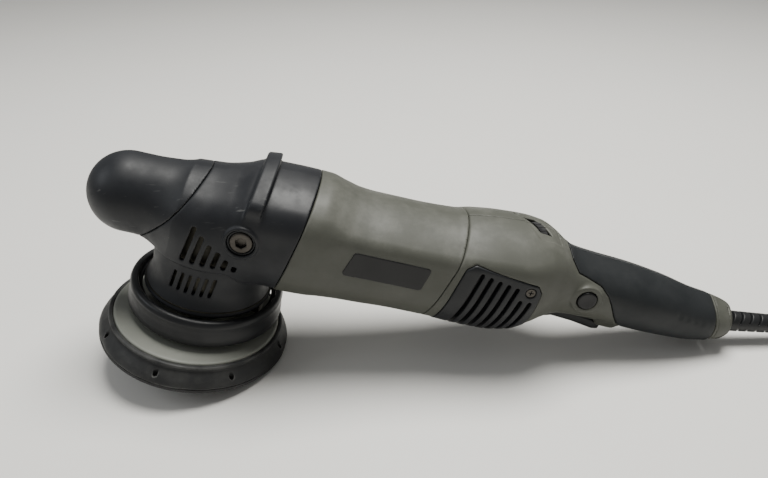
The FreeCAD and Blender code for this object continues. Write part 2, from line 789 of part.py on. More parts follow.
def bevel_gear(teeth, mate, hub):
    """A straight bevel gear with its apex at the origin and its axis along -Z below the apex."""
    cone = math.atan2(teeth, mate)
    distance = float(d.gear_module) * teeth / 2 / math.sin(cone)
    inner = (distance - float(d.gear_face)) / distance
    forward = Vector(math.sin(cone), 0, -math.cos(cone))
    outward = Vector(math.cos(cone), 0, math.sin(cone))
    root = DEDENDUM * float(d.gear_module)
    low_in = forward * (distance * inner) - outward * (root * inner)
    low_out = forward * distance - outward * root
    back_z = low_out.z - hub["back"]
    profile = [
        Vector(hub["bore"], 0, low_in.z),
        low_in,
        low_out,
        Vector(low_out.x - hub["chamfer"], 0, back_z),
        Vector(hub["radius"], 0, back_z),
        Vector(hub["radius"], 0, back_z - hub["length"]),
        Vector(hub["bore"], 0, back_z - hub["length"]),
    ]
    blank = Part.Face(Part.makePolygon(profile + profile[:1])).revolve(Vector(), Vector(0, 0, 1), 360)
    ends = []
    for scale in (1.0, inner):
        points = []
        flank = tooth_outline(teeth, cone, scale)
        for height, half in flank:
            points.append(forward * (distance * scale) + outward * height + Vector(0, half, 0))
        for height, half in reversed(flank):
            points.append(forward * (distance * scale) + outward * height - Vector(0, half, 0))
        ends.append(Part.makePolygon(points + points[:1]))
    tooth = Part.makeLoft(ends, True, True)
    gear = []
    for index in range(int(teeth)):
        copy = tooth.copy()
        copy.rotate(Vector(), Vector(0, 0, 1), index * 360.0 / teeth)
        gear.append(copy)
    return largest(blank.fuse(gear))


apex = Vector(0, 0, axis_z)
wheel = bevel_gear(float(d.wheel_teeth), float(d.pinion_teeth),
                   {"bore": float(d.spindle_mid), "radius": 13.0, "back": 3.0, "chamfer": 3.0, "length": 9.0})
wheel.translate(apex)
shape_piece("bevel_wheel", wheel)
pinion = bevel_gear(float(d.pinion_teeth), float(d.wheel_teeth),
                    {"bore": 0.0, "radius": 6.6, "back": 1.6, "chamfer": 0.5, "length": 4.0})
pinion.rotate(Vector(), Vector(0, 0, 1), 180.0 / float(d.pinion_teeth))
pinion.rotate(Vector(), Vector(0, 1, 0), -90.0)
pinion.translate(apex)
shape_piece("bevel_pinion", pinion)
pinion_back = pinion.BoundBox.XMax

# ---------------------------------------------------------------- motor

motor_at = (0, 0, d.motor_axis)
turned("armature_shaft", [
    (0, pinion_back), (5.0, pinion_back), (5.0, 33.4), (d.shaft_radius, 33.4), (d.shaft_radius, 136.0),
    (4.0, 138.0), (4.0, 147.0), (0, 147.0),
], motor_at, ALONG_X)
ring("front_motor_bearing", d.shaft_radius + d.fit_gap, 14.0, 34.2, 42.2, motor_at, ALONG_X)
ring("rear_motor_bearing", 4.0 + d.fit_gap, 11.0, 139.6, 146.6, motor_at, ALONG_X)


def build_fan():
    """Cooling fan: a hub, a back plate and flat blades."""
    start = 47.0
    hub = rod(11.0, (start, 0, axis_z), (1, 0, 0), 10.0)
    plate = rod(31.0, (start + 8.2, 0, axis_z), (1, 0, 0), 1.8)
    blades = []
    count = 12
    for index in range(count):
        blade = Part.makeBox(8.6, 1.6, 21.0, Vector(start, -0.8, 9.6))
        blade.rotate(Vector(), Vector(1, 0, 0), index * 360.0 / count)
        blade.translate(Vector(0, 0, axis_z))
        blades.append(blade)
    fan = hub.fuse([plate] + blades)
    return fan.cut(rod(float(d.shaft_radius), (start - 1, 0, axis_z), (1, 0, 0), 12.0)).removeSplitter()


shape_piece("cooling_fan", build_fan())


def build_core():
    """Laminated armature with winding slots."""
    core = rod(float(d.core_radius), (64.0, 0, axis_z), (1, 0, 0), 48.0)
    cuts = [rod(float(d.shaft_radius), (63.0, 0, axis_z), (1, 0, 0), 50.0)]
    count = 12
    for index in range(count):
        slot = Part.makeBox(50.0, 2.2, 8.0, Vector(63.0, -1.1, float(d.core_radius) - 6.0))
        slot.rotate(Vector(), Vector(1, 0, 0), index * 360.0 / count)
        slot.translate(Vector(0, 0, axis_z))
        cuts.append(slot)
    return core.cut(cuts)


shape_piece("armature_core", build_core())
for name, low, high in (("front", 59.0, 64.0), ("rear", 112.0, 119.0)):
    turned(f"armature_winding_{name}", [
        (d.shaft_radius, low), (14.0, low), (16.6, low + 1.6), (16.6, high - 1.6), (14.0, high),
        (d.shaft_radius, high),
    ], motor_at, ALONG_X)
ring("commutator", d.shaft_radius, d.commutator_radius, 121.0, 135.0, motor_at, ALONG_X)


def build_field_core():
    """Stator laminations: a round stack with two poles and open side pockets for the coils."""
    stack = rod(float(d.field_radius), (64.0, 0, axis_z), (1, 0, 0), 46.0)
    bore = rod(float(d.core_radius) + 0.6, (63.0, 0, axis_z), (1, 0, 0), 48.0)
    pockets = []
    for side in (-1, 1):
        pockets.append(Part.makeBox(48.0, 9.0, 30.0, Vector(63.0, side * 23.0 - 4.5, axis_z - 15.0)))
    return largest(stack.cut([bore] + pockets))


shape_piece("field_core", build_field_core())


def build_field_coils():
    """Two saddle coils beside the poles, as ring-shaped bundles on each side."""
    coils = []
    for side in (-1, 1):
        pocket = Part.makeBox(58.0, 6.0, 27.0, Vector(58.0, side * 23.2 - 3.0, axis_z - 13.5))
        coils.append(pocket)
    return Part.makeCompound(coils)


shape_piece("field_coils", build_field_coils())


def build_brush_bracket():
    """Plastic bracket that carries the rear bearing and both brush holders."""
    plate = rod(31.4, (138.6, 0, axis_z), (1, 0, 0), 5.6)
    cuts = [rod(11.0, (139.6, 0, axis_z), (1, 0, 0), 8.0), rod(5.0, (138.0, 0, axis_z), (1, 0, 0), 3.0)]
    count = 6
    for index in range(count):
        angle = math.radians(30.0 + index * 360.0 / count)
        place = (138.0, 23.0 * math.cos(angle), axis_z + 23.0 * math.sin(angle))
        cuts.append(rod(6.0, place, (1, 0, 0), 9.0))
    return plate.cut(cuts)


shape_piece("brush_bracket", build_brush_bracket())
brush_gap = 0.15
holders = []
brushes = []
for side in (-1, 1):
    start_y = float(d.commutator_radius) + brush_gap
    low_y = start_y + 1.0 if side > 0 else -start_y - 19.0
    brush_low = start_y if side > 0 else -start_y - 14.0
    tube = Part.makeBox(10.6, 18.0, 10.0, Vector(123.0, low_y, axis_z - 5.0))
    tube = tube.cut(Part.makeBox(7.0, 20.0, 6.6, Vector(124.8, low_y - 1.0, axis_z - 3.3)))
    foot = Part.makeBox(5.0, 10.0, 4.0, Vector(133.6, low_y + 4.0, axis_z - 2.0))
    holders.append(tube.fuse(foot))
    brushes.append(Part.makeBox(6.8, 14.0, 6.4, Vector(124.9, brush_low, axis_z - 3.2)))
shape_piece("brush_holders", Part.makeCompound(holders))
shape_piece("carbon_brushes", Part.makeCompound(brushes))
springs = []
for side in (-1, 1):
    coil = Part.makeHelix(1.1, 5.0, 2.2)
    wire = Part.Wire(Part.makeCircle(0.3, Vector(2.2, 0, 0), Vector(0, 1, 0)))
    spring = Part.Wire(coil).makePipeShell([wire], True, True)
    spring.rotate(Vector(), Vector(1, 0, 0), -90.0 * side)
    spring.translate(Vector(128.3, side * 26.6, axis_z))
    springs.append(spring)
shape_piece("brush_springs", Part.makeCompound(springs))

# ---------------------------------------------------------------- controls

extruded("trigger", [
    (218.0, 78.6), (224.6, 78.6), (228.0, 76.2), (246.0, 75.2), (246.4, 78.4), (250.6, 78.2), (251.0, 74.8),
    (265.0, 72.4), (267.6, 69.8), (266.6, 65.6), (262.0, 65.4), (246.0, 68.4), (230.0, 69.0), (221.0, 70.8),
    (217.6, 74.4),
], 13.2, holes=[((d.trigger_hinge_x, d.trigger_hinge_z), 1.55)])
ring("trigger_pin", 0.0, 1.5, -8.6, 8.6, (d.trigger_hinge_x, 0, d.trigger_hinge_z), ALONG_Y)


def build_switch():
    body = Part.makeBox(36.0, 18.0, 19.0, Vector(228.0, -9.0, 84.0))
    return body.cut(Part.makeCylinder(2.4, 11.5, Vector(248.5, 0, 83.0)))


shape_piece("switch_body", build_switch())
ring("switch_plunger", 0.0, 2.3, 78.8, 90.0, (248.5, 0, 0))
ring("lock_button", 0.0, d.lock_radius, 0.0, 12.0, (d.lock_x, -26.2, d.lock_z), ALONG_Y)

DIAL_SKEW = 28.0
dial_turn = Rotation(Vector(0, 0, 1), DIAL_SKEW) * ALONG_X
dial_at = (d.dial_x, 0, d.dial_z)


def build_speed_dial():
    """Thumbwheel with a ribbed rim and a hub that grips the control's shaft."""
    disc = Part.makeCylinder(float(d.dial_radius), 5.6, Vector(0, 0, -2.8))
    count = 24
    notches = [Part.makeCylinder(0.55, 8.0, Vector(0, 0, -4.0)) for _ in range(count)]
    for index, notch in enumerate(notches):
        angle = 2 * math.pi * index / count
        radius = float(d.dial_radius) + 0.15
        notch.translate(Vector(radius * math.cos(angle), radius * math.sin(angle), 0))
    return disc.cut(notches + [Part.makeCylinder(2.5 + float(d.fit_gap), 8.0, Vector(0, 0, -4.0))])


dial = shape_piece("speed_dial", build_speed_dial())
dial.Placement = Placement(Vector(*[float(value) for value in dial_at]), dial_turn)
turned("speed_control", [
    (0, -3.4), (2.5, -3.4), (2.5, 4.2), (6.4, 4.2), (6.4, 10.6), (0, 10.6),
], dial_at, dial_turn)
extruded("control_board", [(176.0, 104.4), (214.0, 104.4), (214.0, 106.0), (176.0, 106.0)], 30.0)
extruded("cord_clamp", [(316.0, 86.0), (328.0, 86.0), (328.0, 95.6), (316.0, 95.6)], 20.0)

# ---------------------------------------------------------------- labels and fasteners


def build_label(side):
    """Blank name plate set on the flank."""
    outline = [(86.0, 103.6), (134.0, 103.2), (131.6, 87.2), (82.0, 87.0)]
    low, high = (-60.0, 0.0) if side < 0 else (0.0, 60.0)
    block = prism(outline, low, high, 2.4)
    return largest(block.common(skin(MOTOR_STATIONS, -0.5)).cut(skin(MOTOR_STATIONS)))


for name, side in (("left", -1), ("right", 1)):
    shape_piece(f"side_label_{name}", build_label(side))


def hex_socket_screw(place, direction, head, shank, length, socket):
    """A cap screw with its head's outer face at the place and its shank along the direction."""
    height = head * 0.55
    screw = rod(head, place, direction, height).fuse(rod(shank, place, direction, length))
    corners = []
    axis = Vector(*direction)
    across = Vector(0, 0, 1).cross(axis).normalize()
    upright = axis.cross(across)
    for index in range(7):
        angle = math.radians(60.0 * index)
        corners.append(Vector(*place) + across * (socket * math.cos(angle)) + upright * (socket * math.sin(angle)))
    recess = Part.Face(Part.makePolygon(corners)).extrude(axis * (height * 0.7))
    return screw.cut(recess)


side_bolts = []
for side in (-1, 1):
    side_bolts.append(hex_socket_screw((socket_x, side * 40.0, socket_z), (0, -side, 0), 7.0,
                                       float(d.side_thread), 17.0, 3.4))
shape_piece("side_handle_bolts", Part.makeCompound(side_bolts))
washers = []
for side in (-1, 1):
    outer_face = (socket_x, side * 37.0, socket_z)
    collar = rod(10.4, outer_face, (0, side, 0), 2.4).cut(rod(7.2, outer_face, (0, side, 0), 2.4))
    seat = rod(10.4, outer_face, (0, side, 0), 0.8)
    seat = seat.cut(rod(float(d.side_thread), outer_face, (0, side, 0), 0.8))
    washers.append(collar.fuse(seat).cut(rod(7.0, (socket_x, side * 36.15, socket_z), (0, side, 0), 9.0)))
shape_piece("side_socket_rings", Part.makeCompound(washers))


def plain_screw(place, direction, head, shank, length):
    """A round-headed screw with a cross recess."""
    screw = rod(head, place, direction, 1.8).fuse(rod(shank, place, direction, length))
    axis = Vector(*direction)
    for turn in (0.0, 90.0):
        bar = Part.makeBox(head * 1.2, 0.7, 1.0, Vector(-head * 0.6, -0.35, 0.0))
        bar.rotate(Vector(), Vector(0, 0, 1), turn)
        bar.Placement = Placement(Vector(*place), Rotation(Vector(0, 0, 1), axis)) * bar.Placement
        screw = screw.cut(bar)
    return screw


grille_screws = []
for side in (-1, 1):
    grille_screws.append(plain_screw((197.4, side * 38.2, 102.6), (0, -side, 0), 2.8, 1.2, 7.0))
shape_piece("grille_screws", Part.makeCompound(grille_screws))
flange_screws = []
for index in range(4):
    angle = math.radians(45.0 + 90.0 * index)
    place = (46.6, 31.6 * math.cos(angle), axis_z + 31.6 * math.sin(angle))
    flange_screws.append(plain_screw(place, (-1, 0, 0), 2.0, 1.2, 3.6))
shape_piece("flange_screws", Part.makeCompound(flange_screws))

for label, tools in {
    "gear_housing": "flange_screws",
    "vent_grille_left": "grille_screws",
    "vent_grille_right": "grille_screws",
    "handle_shell_left": "grille_screws",
    "handle_shell_right": "grille_screws",
    "field_core": "field_coils",
}.items():
    PIECES[label].Shape = largest(PIECES[label].Shape.cut(PIECES[tools].Shape))

# ---------------------------------------------------------------- resting pose

doc.recompute()
tilt = Placement(Vector(), Rotation(Vector(0, 1, 0), float(d.rest_tilt)))
ON_CORD = ["strain_relief"]
box = FreeCAD.BoundBox()
for label, piece in PIECES.items():
    if label not in ON_CORD:
        resting = piece.Shape.copy()
        resting.Placement = tilt * resting.Placement
        box.add(resting.optimalBoundingBox(False, False))
shift = Vector(-(box.XMin + box.XMax) / 2, -(box.YMin + box.YMax) / 2, -box.ZMin)
resting_pose = Placement(shift, Rotation(Vector(0, 1, 0), float(d.rest_tilt)))
for piece in PIECES.values():
    piece.Placement = resting_pose * piece.Placement
doc.recompute()

# ---------------------------------------------------------------- cord, on the floor that the tool rests on

cord_radius = float(d.cord_radius)
relief_tip = resting_pose.multVec(RELIEF_START + RELIEF_AXIS * float(d.relief_length))
relief_way = resting_pose.Rotation.multVec(RELIEF_AXIS)
COIL_MIDDLE = 44.0
COIL_HALF = 16.4
COIL_HEIGHT = 32.8
coil_centre = Vector(relief_tip.x + 104.0, relief_tip.y + COIL_MIDDLE + 12.0, 0)
ROUTE = [
    relief_tip - relief_way * 6.0,
    relief_tip + relief_way * 14.0,
    Vector(relief_tip.x + 36.0, relief_tip.y, 8.0),
    Vector(relief_tip.x + 60.0, relief_tip.y + 0.6, 5.2),
    Vector(relief_tip.x + 82.0, relief_tip.y - 0.2, cord_radius + 0.1),
    Vector(relief_tip.x + 102.0, relief_tip.y - 0.4, cord_radius + 0.1),
]


def cord_path(points):
    """Straight runs joined by tangent arcs, each as large as its two runs allow."""
    edges = []
    last = points[0]
    for index in range(1, len(points) - 1):
        before = points[index] - points[index - 1]
        after = points[index + 1] - points[index]
        turn = before.getAngle(after)
        reach = 0.45 * min(before.Length, after.Length)
        radius = reach / math.tan(turn / 2)
        print(f"cord bend {index}: radius {radius:.0f} mm, turn {math.degrees(turn):.0f} degrees")
        start = points[index] - before.normalize() * reach
        end = points[index] + after.normalize() * reach
        towards = (after - before).normalize()
        middle = points[index] + towards * (radius / math.cos(turn / 2) - radius)
        edges.append(Part.LineSegment(last, start).toShape())
        edges.append(Part.Arc(start, middle, end).toShape())
        last = end
    edges.append(Part.LineSegment(last, points[-1]).toShape())
    return Part.Wire(edges)


path = cord_path(ROUTE)
profile = Part.Wire(Part.makeCircle(cord_radius, ROUTE[0], relief_way))
tube = path.makePipeShell([profile], True, True)
expected = math.pi * cord_radius**2 * path.Length
print(f"cord tube volume {tube.Volume:.0f} of {expected:.0f} cubic mm, path {path.Length:.0f} mm")
shape_piece("cord_tube", tube)
coil_outer = Part.makeCylinder(COIL_MIDDLE + COIL_HALF, COIL_HEIGHT, coil_centre)
coil_inner = Part.makeCylinder(COIL_MIDDLE - COIL_HALF, COIL_HEIGHT, coil_centre)
coil = coil_outer.cut(coil_inner)
coil = coil.makeFillet(4.0, [edge for edge in coil.Edges if abs(edge.BoundBox.ZLength) < 0.01])
shape_piece("cord_coil", coil)


def build_plug():
    """Moulded two-pin plug lying on top of the coil."""
    length, width, height = 42.0, 34.0, 14.0
    body = Part.makeBox(length, width, height, Vector(0, -width / 2, 0))
    body = body.makeFillet(5.0, [edge for edge in body.Edges if edge.BoundBox.ZLength > 1])
    body = body.makeFillet(2.0, [edge for edge in body.Edges if edge.BoundBox.ZLength < 0.01])
    tail = Part.makeCone(5.2, 4.6, 16.0, Vector(-14.0, 0, height / 2), Vector(1, 0, 0))
    pins = [rod(2.4, (length - 2.0, side * 9.5, height / 2), (1, 0, 0), 21.0) for side in (-1, 1)]
    return largest(body.fuse([tail] + pins))


plug = shape_piece("plug", build_plug())
plug.Placement = Placement(Vector(coil_centre.x - 10.0, coil_centre.y - 44.0, COIL_HEIGHT), Rotation())

# ---------------------------------------------------------------- checks and files


def faults(label, piece):
    """What is wrong with a sub-part, as a list of words."""
    found = [state for state in piece.State if state in ("Invalid", "Error")]
    if piece.Shape.isNull() or not piece.Shape.isValid():
        found.append("bad shape")
    elif not piece.Shape.Solids or piece.Shape.Volume <= 0:
        found.append("no solid")
    return [f"{label}: {word}" for word in found]


doc.recompute()
problems = [word for label, piece in PIECES.items() for word in faults(label, piece)]
problems += [f"{item.Name}: failed" for item in doc.Objects if {"Invalid", "Error"} & set(item.State)]
if problems:
    raise SystemExit("; ".join(problems))
os.makedirs("parts", exist_ok=True)
for label, piece in PIECES.items():
    piece.Shape.exportStep(f"parts/{label}.step")
print(f"{len(PIECES)} sub-parts; origin shift {shift.x:.3f} {shift.y:.3f} {shift.z:.3f}")
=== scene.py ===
"""Looks of the dual action polisher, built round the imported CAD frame.

The shells and soft parts are distance fields in the tool's own axes (millimetres, X along the motor axis,
Z along the spindle, 0 at the pad face), meshed by a surface net and carried into the row frame in metres.
"""

import json
import math

import bpy
import numpy as np
from mathutils import Matrix, Vector


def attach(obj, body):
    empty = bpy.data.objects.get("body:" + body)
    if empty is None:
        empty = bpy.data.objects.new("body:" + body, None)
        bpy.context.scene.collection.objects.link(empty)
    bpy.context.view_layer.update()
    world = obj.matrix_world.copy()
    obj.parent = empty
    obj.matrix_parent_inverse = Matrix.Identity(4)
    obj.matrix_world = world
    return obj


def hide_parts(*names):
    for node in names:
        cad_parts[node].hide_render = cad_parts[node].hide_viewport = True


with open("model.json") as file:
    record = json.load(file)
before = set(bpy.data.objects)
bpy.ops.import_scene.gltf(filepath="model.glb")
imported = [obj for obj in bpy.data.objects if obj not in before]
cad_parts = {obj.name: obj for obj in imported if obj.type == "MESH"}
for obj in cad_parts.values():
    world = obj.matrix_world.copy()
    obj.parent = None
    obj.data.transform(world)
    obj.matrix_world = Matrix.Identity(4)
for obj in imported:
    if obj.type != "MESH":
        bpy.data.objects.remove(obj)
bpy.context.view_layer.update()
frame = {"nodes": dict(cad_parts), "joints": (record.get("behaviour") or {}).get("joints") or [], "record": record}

MM = 0.001
# a distance in mm that is outside, or inside when negative, whatever it is combined with
FAR = 1e3
joints = {joint["name"]: joint for joint in frame["joints"]}

# ------------------------------------------------------------------ tool axes in the row frame

SPINDLE_MARK = 50.0
tool_z = Vector(joints["spindle_spin"]["axis"]).normalized()
tool_x = Vector(joints["armature_spin"]["axis"]).normalized()
tool_y = tool_z.cross(tool_x)
tool_origin = Vector(joints["spindle_spin"]["pos_m"]) - tool_z * SPINDLE_MARK * MM
TOOL = Matrix.Translation(tool_origin) @ Matrix((tool_x, tool_y, tool_z)).transposed().to_4x4()


def row_point(x, y, z):
    """A point given in the tool's axes and millimetres, in the row frame and metres."""
    return TOOL @ (Vector((x, y, z)) * MM)


def row_points(points):
    """The same for an array of points."""
    axes = np.array((tool_x, tool_y, tool_z))
    return points * MM @ axes + np.array(tool_origin)


# ------------------------------------------------------------------ distance field tools


def smooth_max(a, b, k):
    """The larger of two distances, with the corner between them rounded over k."""
    blend = np.maximum(k - np.abs(a - b), 0.0)
    return np.maximum(a, b) + blend * blend / (4.0 * k)


def smooth_min(a, b, k):
    return -smooth_max(-a, -b, k)


def step_up(value, low, high):
    """0 below low, 1 above high, and smooth between."""
    t = np.clip((value - low) / (high - low), 0.0, 1.0)
    return t * t * (3.0 - 2.0 * t)


def polygon(u, v, corners):
    """Signed distance from points to a closed outline, negative inside."""
    distance = np.full(u.shape, np.inf)
    inside = np.zeros(u.shape, bool)
    for (u0, v0), (u1, v1) in zip(corners, corners[1:] + corners[:1]):
        du, dv = u1 - u0, v1 - v0
        along = np.clip(((u - u0) * du + (v - v0) * dv) / (du * du + dv * dv), 0.0, 1.0)
        distance = np.minimum(distance, np.hypot(u - u0 - along * du, v - v0 - along * dv))
        if dv != 0:
            crosses = (v0 > v) != (v1 > v)
            inside ^= crosses & (u < u0 + (v - v0) * du / dv)
    return np.where(inside, -distance, distance)


def capsule(x, y, z, a, b, radius):
    """Distance to a round-ended rod between two points."""
    a, b = np.array(a, float), np.array(b, float)
    way = b - a
    along = ((x - a[0]) * way[0] + (y - a[1]) * way[1] + (z - a[2]) * way[2]) / way.dot(way)
    along = np.clip(along, 0.0, 1.0)
    gap = sum((value - a[axis] - along * way[axis]) ** 2 for axis, value in enumerate((x, y, z)))
    return np.sqrt(gap) - radius


def rounded_box(x, y, z, centre, half, radius):
    """Distance to a box with rounded edges."""
    parts = [np.abs(value - middle) - size + radius for value, middle, size in zip((x, y, z), centre, half)]
    outside = np.sqrt(sum(np.maximum(part, 0.0) ** 2 for part in parts))
    return outside + np.minimum(np.maximum(np.maximum(parts[0], parts[1]), parts[2]), 0.0) - radius


def sample_band(field, low, high, step):
    """Samples a field on a grid, exactly near its surface and by blocks elsewhere."""
    block = 8
    counts = [int(math.ceil((b - a) / step / block)) for a, b in zip(low, high)]
    size = [count * block + 1 for count in counts]
    values = np.empty(size, np.float32)
    middles = [a + (np.arange(count) + 0.5) * block * step for a, count in zip(low, counts)]
    grid = np.meshgrid(*middles, indexing="ij")
    coarse = field(*grid)
    # how much steeper than a true distance a field may be
    slack = 1.6
    reach = 0.5 * block * step * math.sqrt(3.0) * slack
    filled = np.repeat(np.repeat(np.repeat(coarse, block, 0), block, 1), block, 2)
    filled = np.pad(filled, ((0, 1), (0, 1), (0, 1)), mode="edge")
    values[:] = np.where(filled < 0, -reach, reach)
    local = np.arange(block + 1) * step
    near = np.argwhere(np.abs(coarse) < reach)
    batch = 1500
    for start in range(0, len(near), batch):
        cells = near[start:start + batch]
        corner = np.array(low) + cells * block * step
        x = corner[:, 0, None, None, None] + local[None, :, None, None] + 0 * local[None, None, :, None]
        y = corner[:, 1, None, None, None] + local[None, None, :, None]
        z = corner[:, 2, None, None, None] + local[None, None, None, :]
        x, y, z = np.broadcast_arrays(x, y, z)
        found = field(x, y, z)
        for (i, j, k), part in zip(cells * block, found):
            values[i:i + block + 1, j:j + block + 1, k:k + block + 1] = part
    return values


CORNERS = [(i, j, k) for i in (0, 1) for j in (0, 1) for k in (0, 1)]
EDGES = [(a, b) for a in CORNERS for b in CORNERS if a < b and sum(abs(p - q) for p, q in zip(a, b)) == 1]


def surface_net(values, low, step):
    """Vertices and quads on the zero level of a sampled field."""
    cells = [size - 1 for size in values.shape]

    def corner(offset):
        return values[tuple(slice(start, start + count) for start, count in zip(offset, cells))]

    inside = sum((corner(offset) < 0).astype(np.uint8) for offset in CORNERS)
    active = (inside > 0) & (inside < 8)
    where = np.argwhere(active)
    index = np.full(active.shape, -1, np.int64)
    index[active] = np.arange(len(where))
    total = np.zeros((len(where), 3))
    hits = np.zeros(len(where))
    for a, b in EDGES:
        va, vb = corner(a)[active], corner(b)[active]
        crossing = (va < 0) != (vb < 0)
        share = np.where(crossing, va / np.where(crossing, va - vb, 1.0), 0.0)
        point = np.array(a) + share[:, None] * (np.array(b) - np.array(a))
        total += np.where(crossing[:, None], point, 0.0)
        hits += crossing
    points = np.array(low) + (where + total / hits[:, None]) * step
    quads = []
    for axis in range(3):
        side, up = [(1, 2), (2, 0), (0, 1)][axis]
        lower = [slice(1, -1)] * 3
        upper = [slice(1, -1)] * 3
        lower[axis] = slice(0, -1)
        upper[axis] = slice(1, None)
        start, end = values[tuple(lower)] < 0, values[tuple(upper)] < 0
        for grows, order in ((start & ~end, (0, 1, 2, 3)), (~start & end, (3, 2, 1, 0))):
            at = np.argwhere(grows)
            at[:, side] += 1
            at[:, up] += 1
            around = []
            for back_side, back_up in ((1, 1), (0, 1), (0, 0), (1, 0)):
                cell = at.copy()
                cell[:, side] -= back_side
                cell[:, up] -= back_up
                around.append(index[cell[:, 0], cell[:, 1], cell[:, 2]])
            quads.append(np.stack([around[i] for i in order], 1))
    quads = np.concatenate(quads)
    return points, quads[(quads >= 0).all(1)]


def slope(field, points, reach):
    """A field's value and gradient at points."""
    gradient = np.empty_like(points)
    for axis in range(3):
        move = np.zeros(3)
        move[axis] = reach
        gradient[:, axis] = (field(*(points + move).T) - field(*(points - move).T)) / (2 * reach)
    return field(*points.T), gradient


def mesh_piece(name, points, faces):
    """A smooth-shaded object from row-frame points."""
    mesh = bpy.data.meshes.new(name)
    mesh.vertices.add(len(points))
    mesh.vertices.foreach_set("co", np.asarray(points, np.float32).ravel())
    mesh.loops.add(faces.size)
    mesh.loops.foreach_set("vertex_index", faces.ravel().astype(np.int32))
    mesh.polygons.add(len(faces))
    mesh.polygons.foreach_set("loop_start", np.arange(0, faces.size, faces.shape[1], dtype=np.int32))
    mesh.polygons.foreach_set("use_smooth", np.ones(len(faces), bool))
    mesh.update(calc_edges=True)
    mesh.validate()
    piece = bpy.data.objects.new(name, mesh)
    bpy.context.scene.collection.objects.link(piece)
    return piece


def field_piece(name, field, low, high, step, body, nodes, material, settle=3):
    """Meshes a distance field given in the tool's axes, and puts it in place of CAD nodes."""
    values = sample_band(field, low, high, step)
    points, quads = surface_net(values, low, step)
    for _ in range(settle):
        value, gradient = slope(field, points, 0.15 * step)
        steep = np.maximum((gradient ** 2).sum(1), 0.3)
        move = -(value / steep)[:, None] * gradient
        length = np.linalg.norm(move, axis=1, keepdims=True)
        points = points + move * np.minimum(1.0, 0.35 * step / np.maximum(length, 1e-9))
    piece = mesh_piece(name, row_points(points), quads)
    return dress(piece, body, nodes, material)


def dress(piece, body, nodes, material):
    """Gives a piece its body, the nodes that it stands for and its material."""
    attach(piece, body)
    if nodes:
        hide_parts(*nodes)
    piece.data.materials.clear()
    piece.data.materials.append(material)
    return piece


# ------------------------------------------------------------------ materials


class Graph:
    """A short way to write a material's nodes."""

    def __init__(self, name):
        self.material = bpy.data.materials.new(name)
        self.material.use_nodes = True
        self.nodes = self.material.node_tree.nodes
        self.links = self.material.node_tree.links
        self.shader = self.nodes["Principled BSDF"]
        self.place = self.nodes.new("ShaderNodeTexCoord").outputs["Object"]

    def link(self, source, target):
        self.links.new(source, target)

    def noise(self, scale, detail=4.0, rough=0.5, stretch=None):
        """Noise over object space, as a value round 0.5."""
        node = self.nodes.new("ShaderNodeTexNoise")
        node.inputs["Scale"].default_value = scale
        node.inputs["Detail"].default_value = detail
        node.inputs["Roughness"].default_value = rough
        source = self.place
        if stretch:
            mapping = self.nodes.new("ShaderNodeMapping")
            mapping.inputs["Scale"].default_value = stretch[:3]
            mapping.inputs["Rotation"].default_value = stretch[3:]
            self.link(self.place, mapping.inputs["Vector"])
            source = mapping.outputs["Vector"]
        self.link(source, node.inputs["Vector"])
        return node.outputs["Fac"]

    def ramp(self, source, low, high, start=0.0, end=1.0):
        """Maps a value range to another, smoothly and clamped."""
        node = self.nodes.new("ShaderNodeMapRange")
        node.interpolation_type = "SMOOTHSTEP"
        for name, value in (("From Min", low), ("From Max", high), ("To Min", start), ("To Max", end)):
            node.inputs[name].default_value = value
        self.link(source, node.inputs["Value"])
        return node.outputs["Result"]

    def math(self, operation, a, b=0.0):
        node = self.nodes.new("ShaderNodeMath")
        node.operation = operation
        for socket, value in zip(node.inputs, (a, b)):
            if isinstance(value, (int, float)):
                socket.default_value = value
            else:
                self.link(value, socket)
        return node.outputs["Value"]

    def mix(self, factor, a, b):
        """Mixes two colours or colour outputs."""
        node = self.nodes.new("ShaderNodeMix")
        node.data_type = "RGBA"
        self.link(factor, node.inputs["Factor"])
        for name, value in (("A", a), ("B", b)):
            socket = [item for item in node.inputs if item.name == name and item.type == "RGBA"][0]
            if isinstance(value, tuple):
                socket.default_value = (*value, 1.0)
            else:
                self.link(value, socket)
        return [item for item in node.outputs if item.type == "RGBA"][0]

    def edges(self, low, high):
        """Where the surface is convex, as along a worn edge."""
        node = self.nodes.new("ShaderNodeNewGeometry")
        return self.ramp(node.outputs["Pointiness"], low, high)

    def up(self):
        """How much the surface faces up, from -1 to 1."""
        node = self.nodes.new("ShaderNodeNewGeometry")
        split = self.nodes.new("ShaderNodeSeparateXYZ")
        self.link(node.outputs["Normal"], split.inputs["Vector"])
        return split.outputs["Z"]

    def bump(self, height, strength, distance):
        node = self.nodes.new("ShaderNodeBump")
        node.inputs["Strength"].default_value = strength
        node.inputs["Distance"].default_value = distance
        self.link(height, node.inputs["Height"])
        self.link(node.outputs["Normal"], self.shader.inputs["Normal"])

    def finish(self, colour, roughness, **sockets):
        if isinstance(colour, tuple):
            self.shader.inputs["Base Color"].default_value = (*colour, 1.0)
        else:
            self.link(colour, self.shader.inputs["Base Color"])
        if isinstance(roughness, float):
            self.shader.inputs["Roughness"].default_value = roughness
        else:
            self.link(roughness, self.shader.inputs["Roughness"])
        for name, value in sockets.items():
            self.shader.inputs[name.replace("_", " ")].default_value = value
        return self.material


# scale and turn of the noise that draws light scratches
SCRATCH_STRETCH = (1.0, 14.0, 6.0, 0.3, 0.5, 0.6)
SCUFF_GREY = (0.28, 0.28, 0.27)


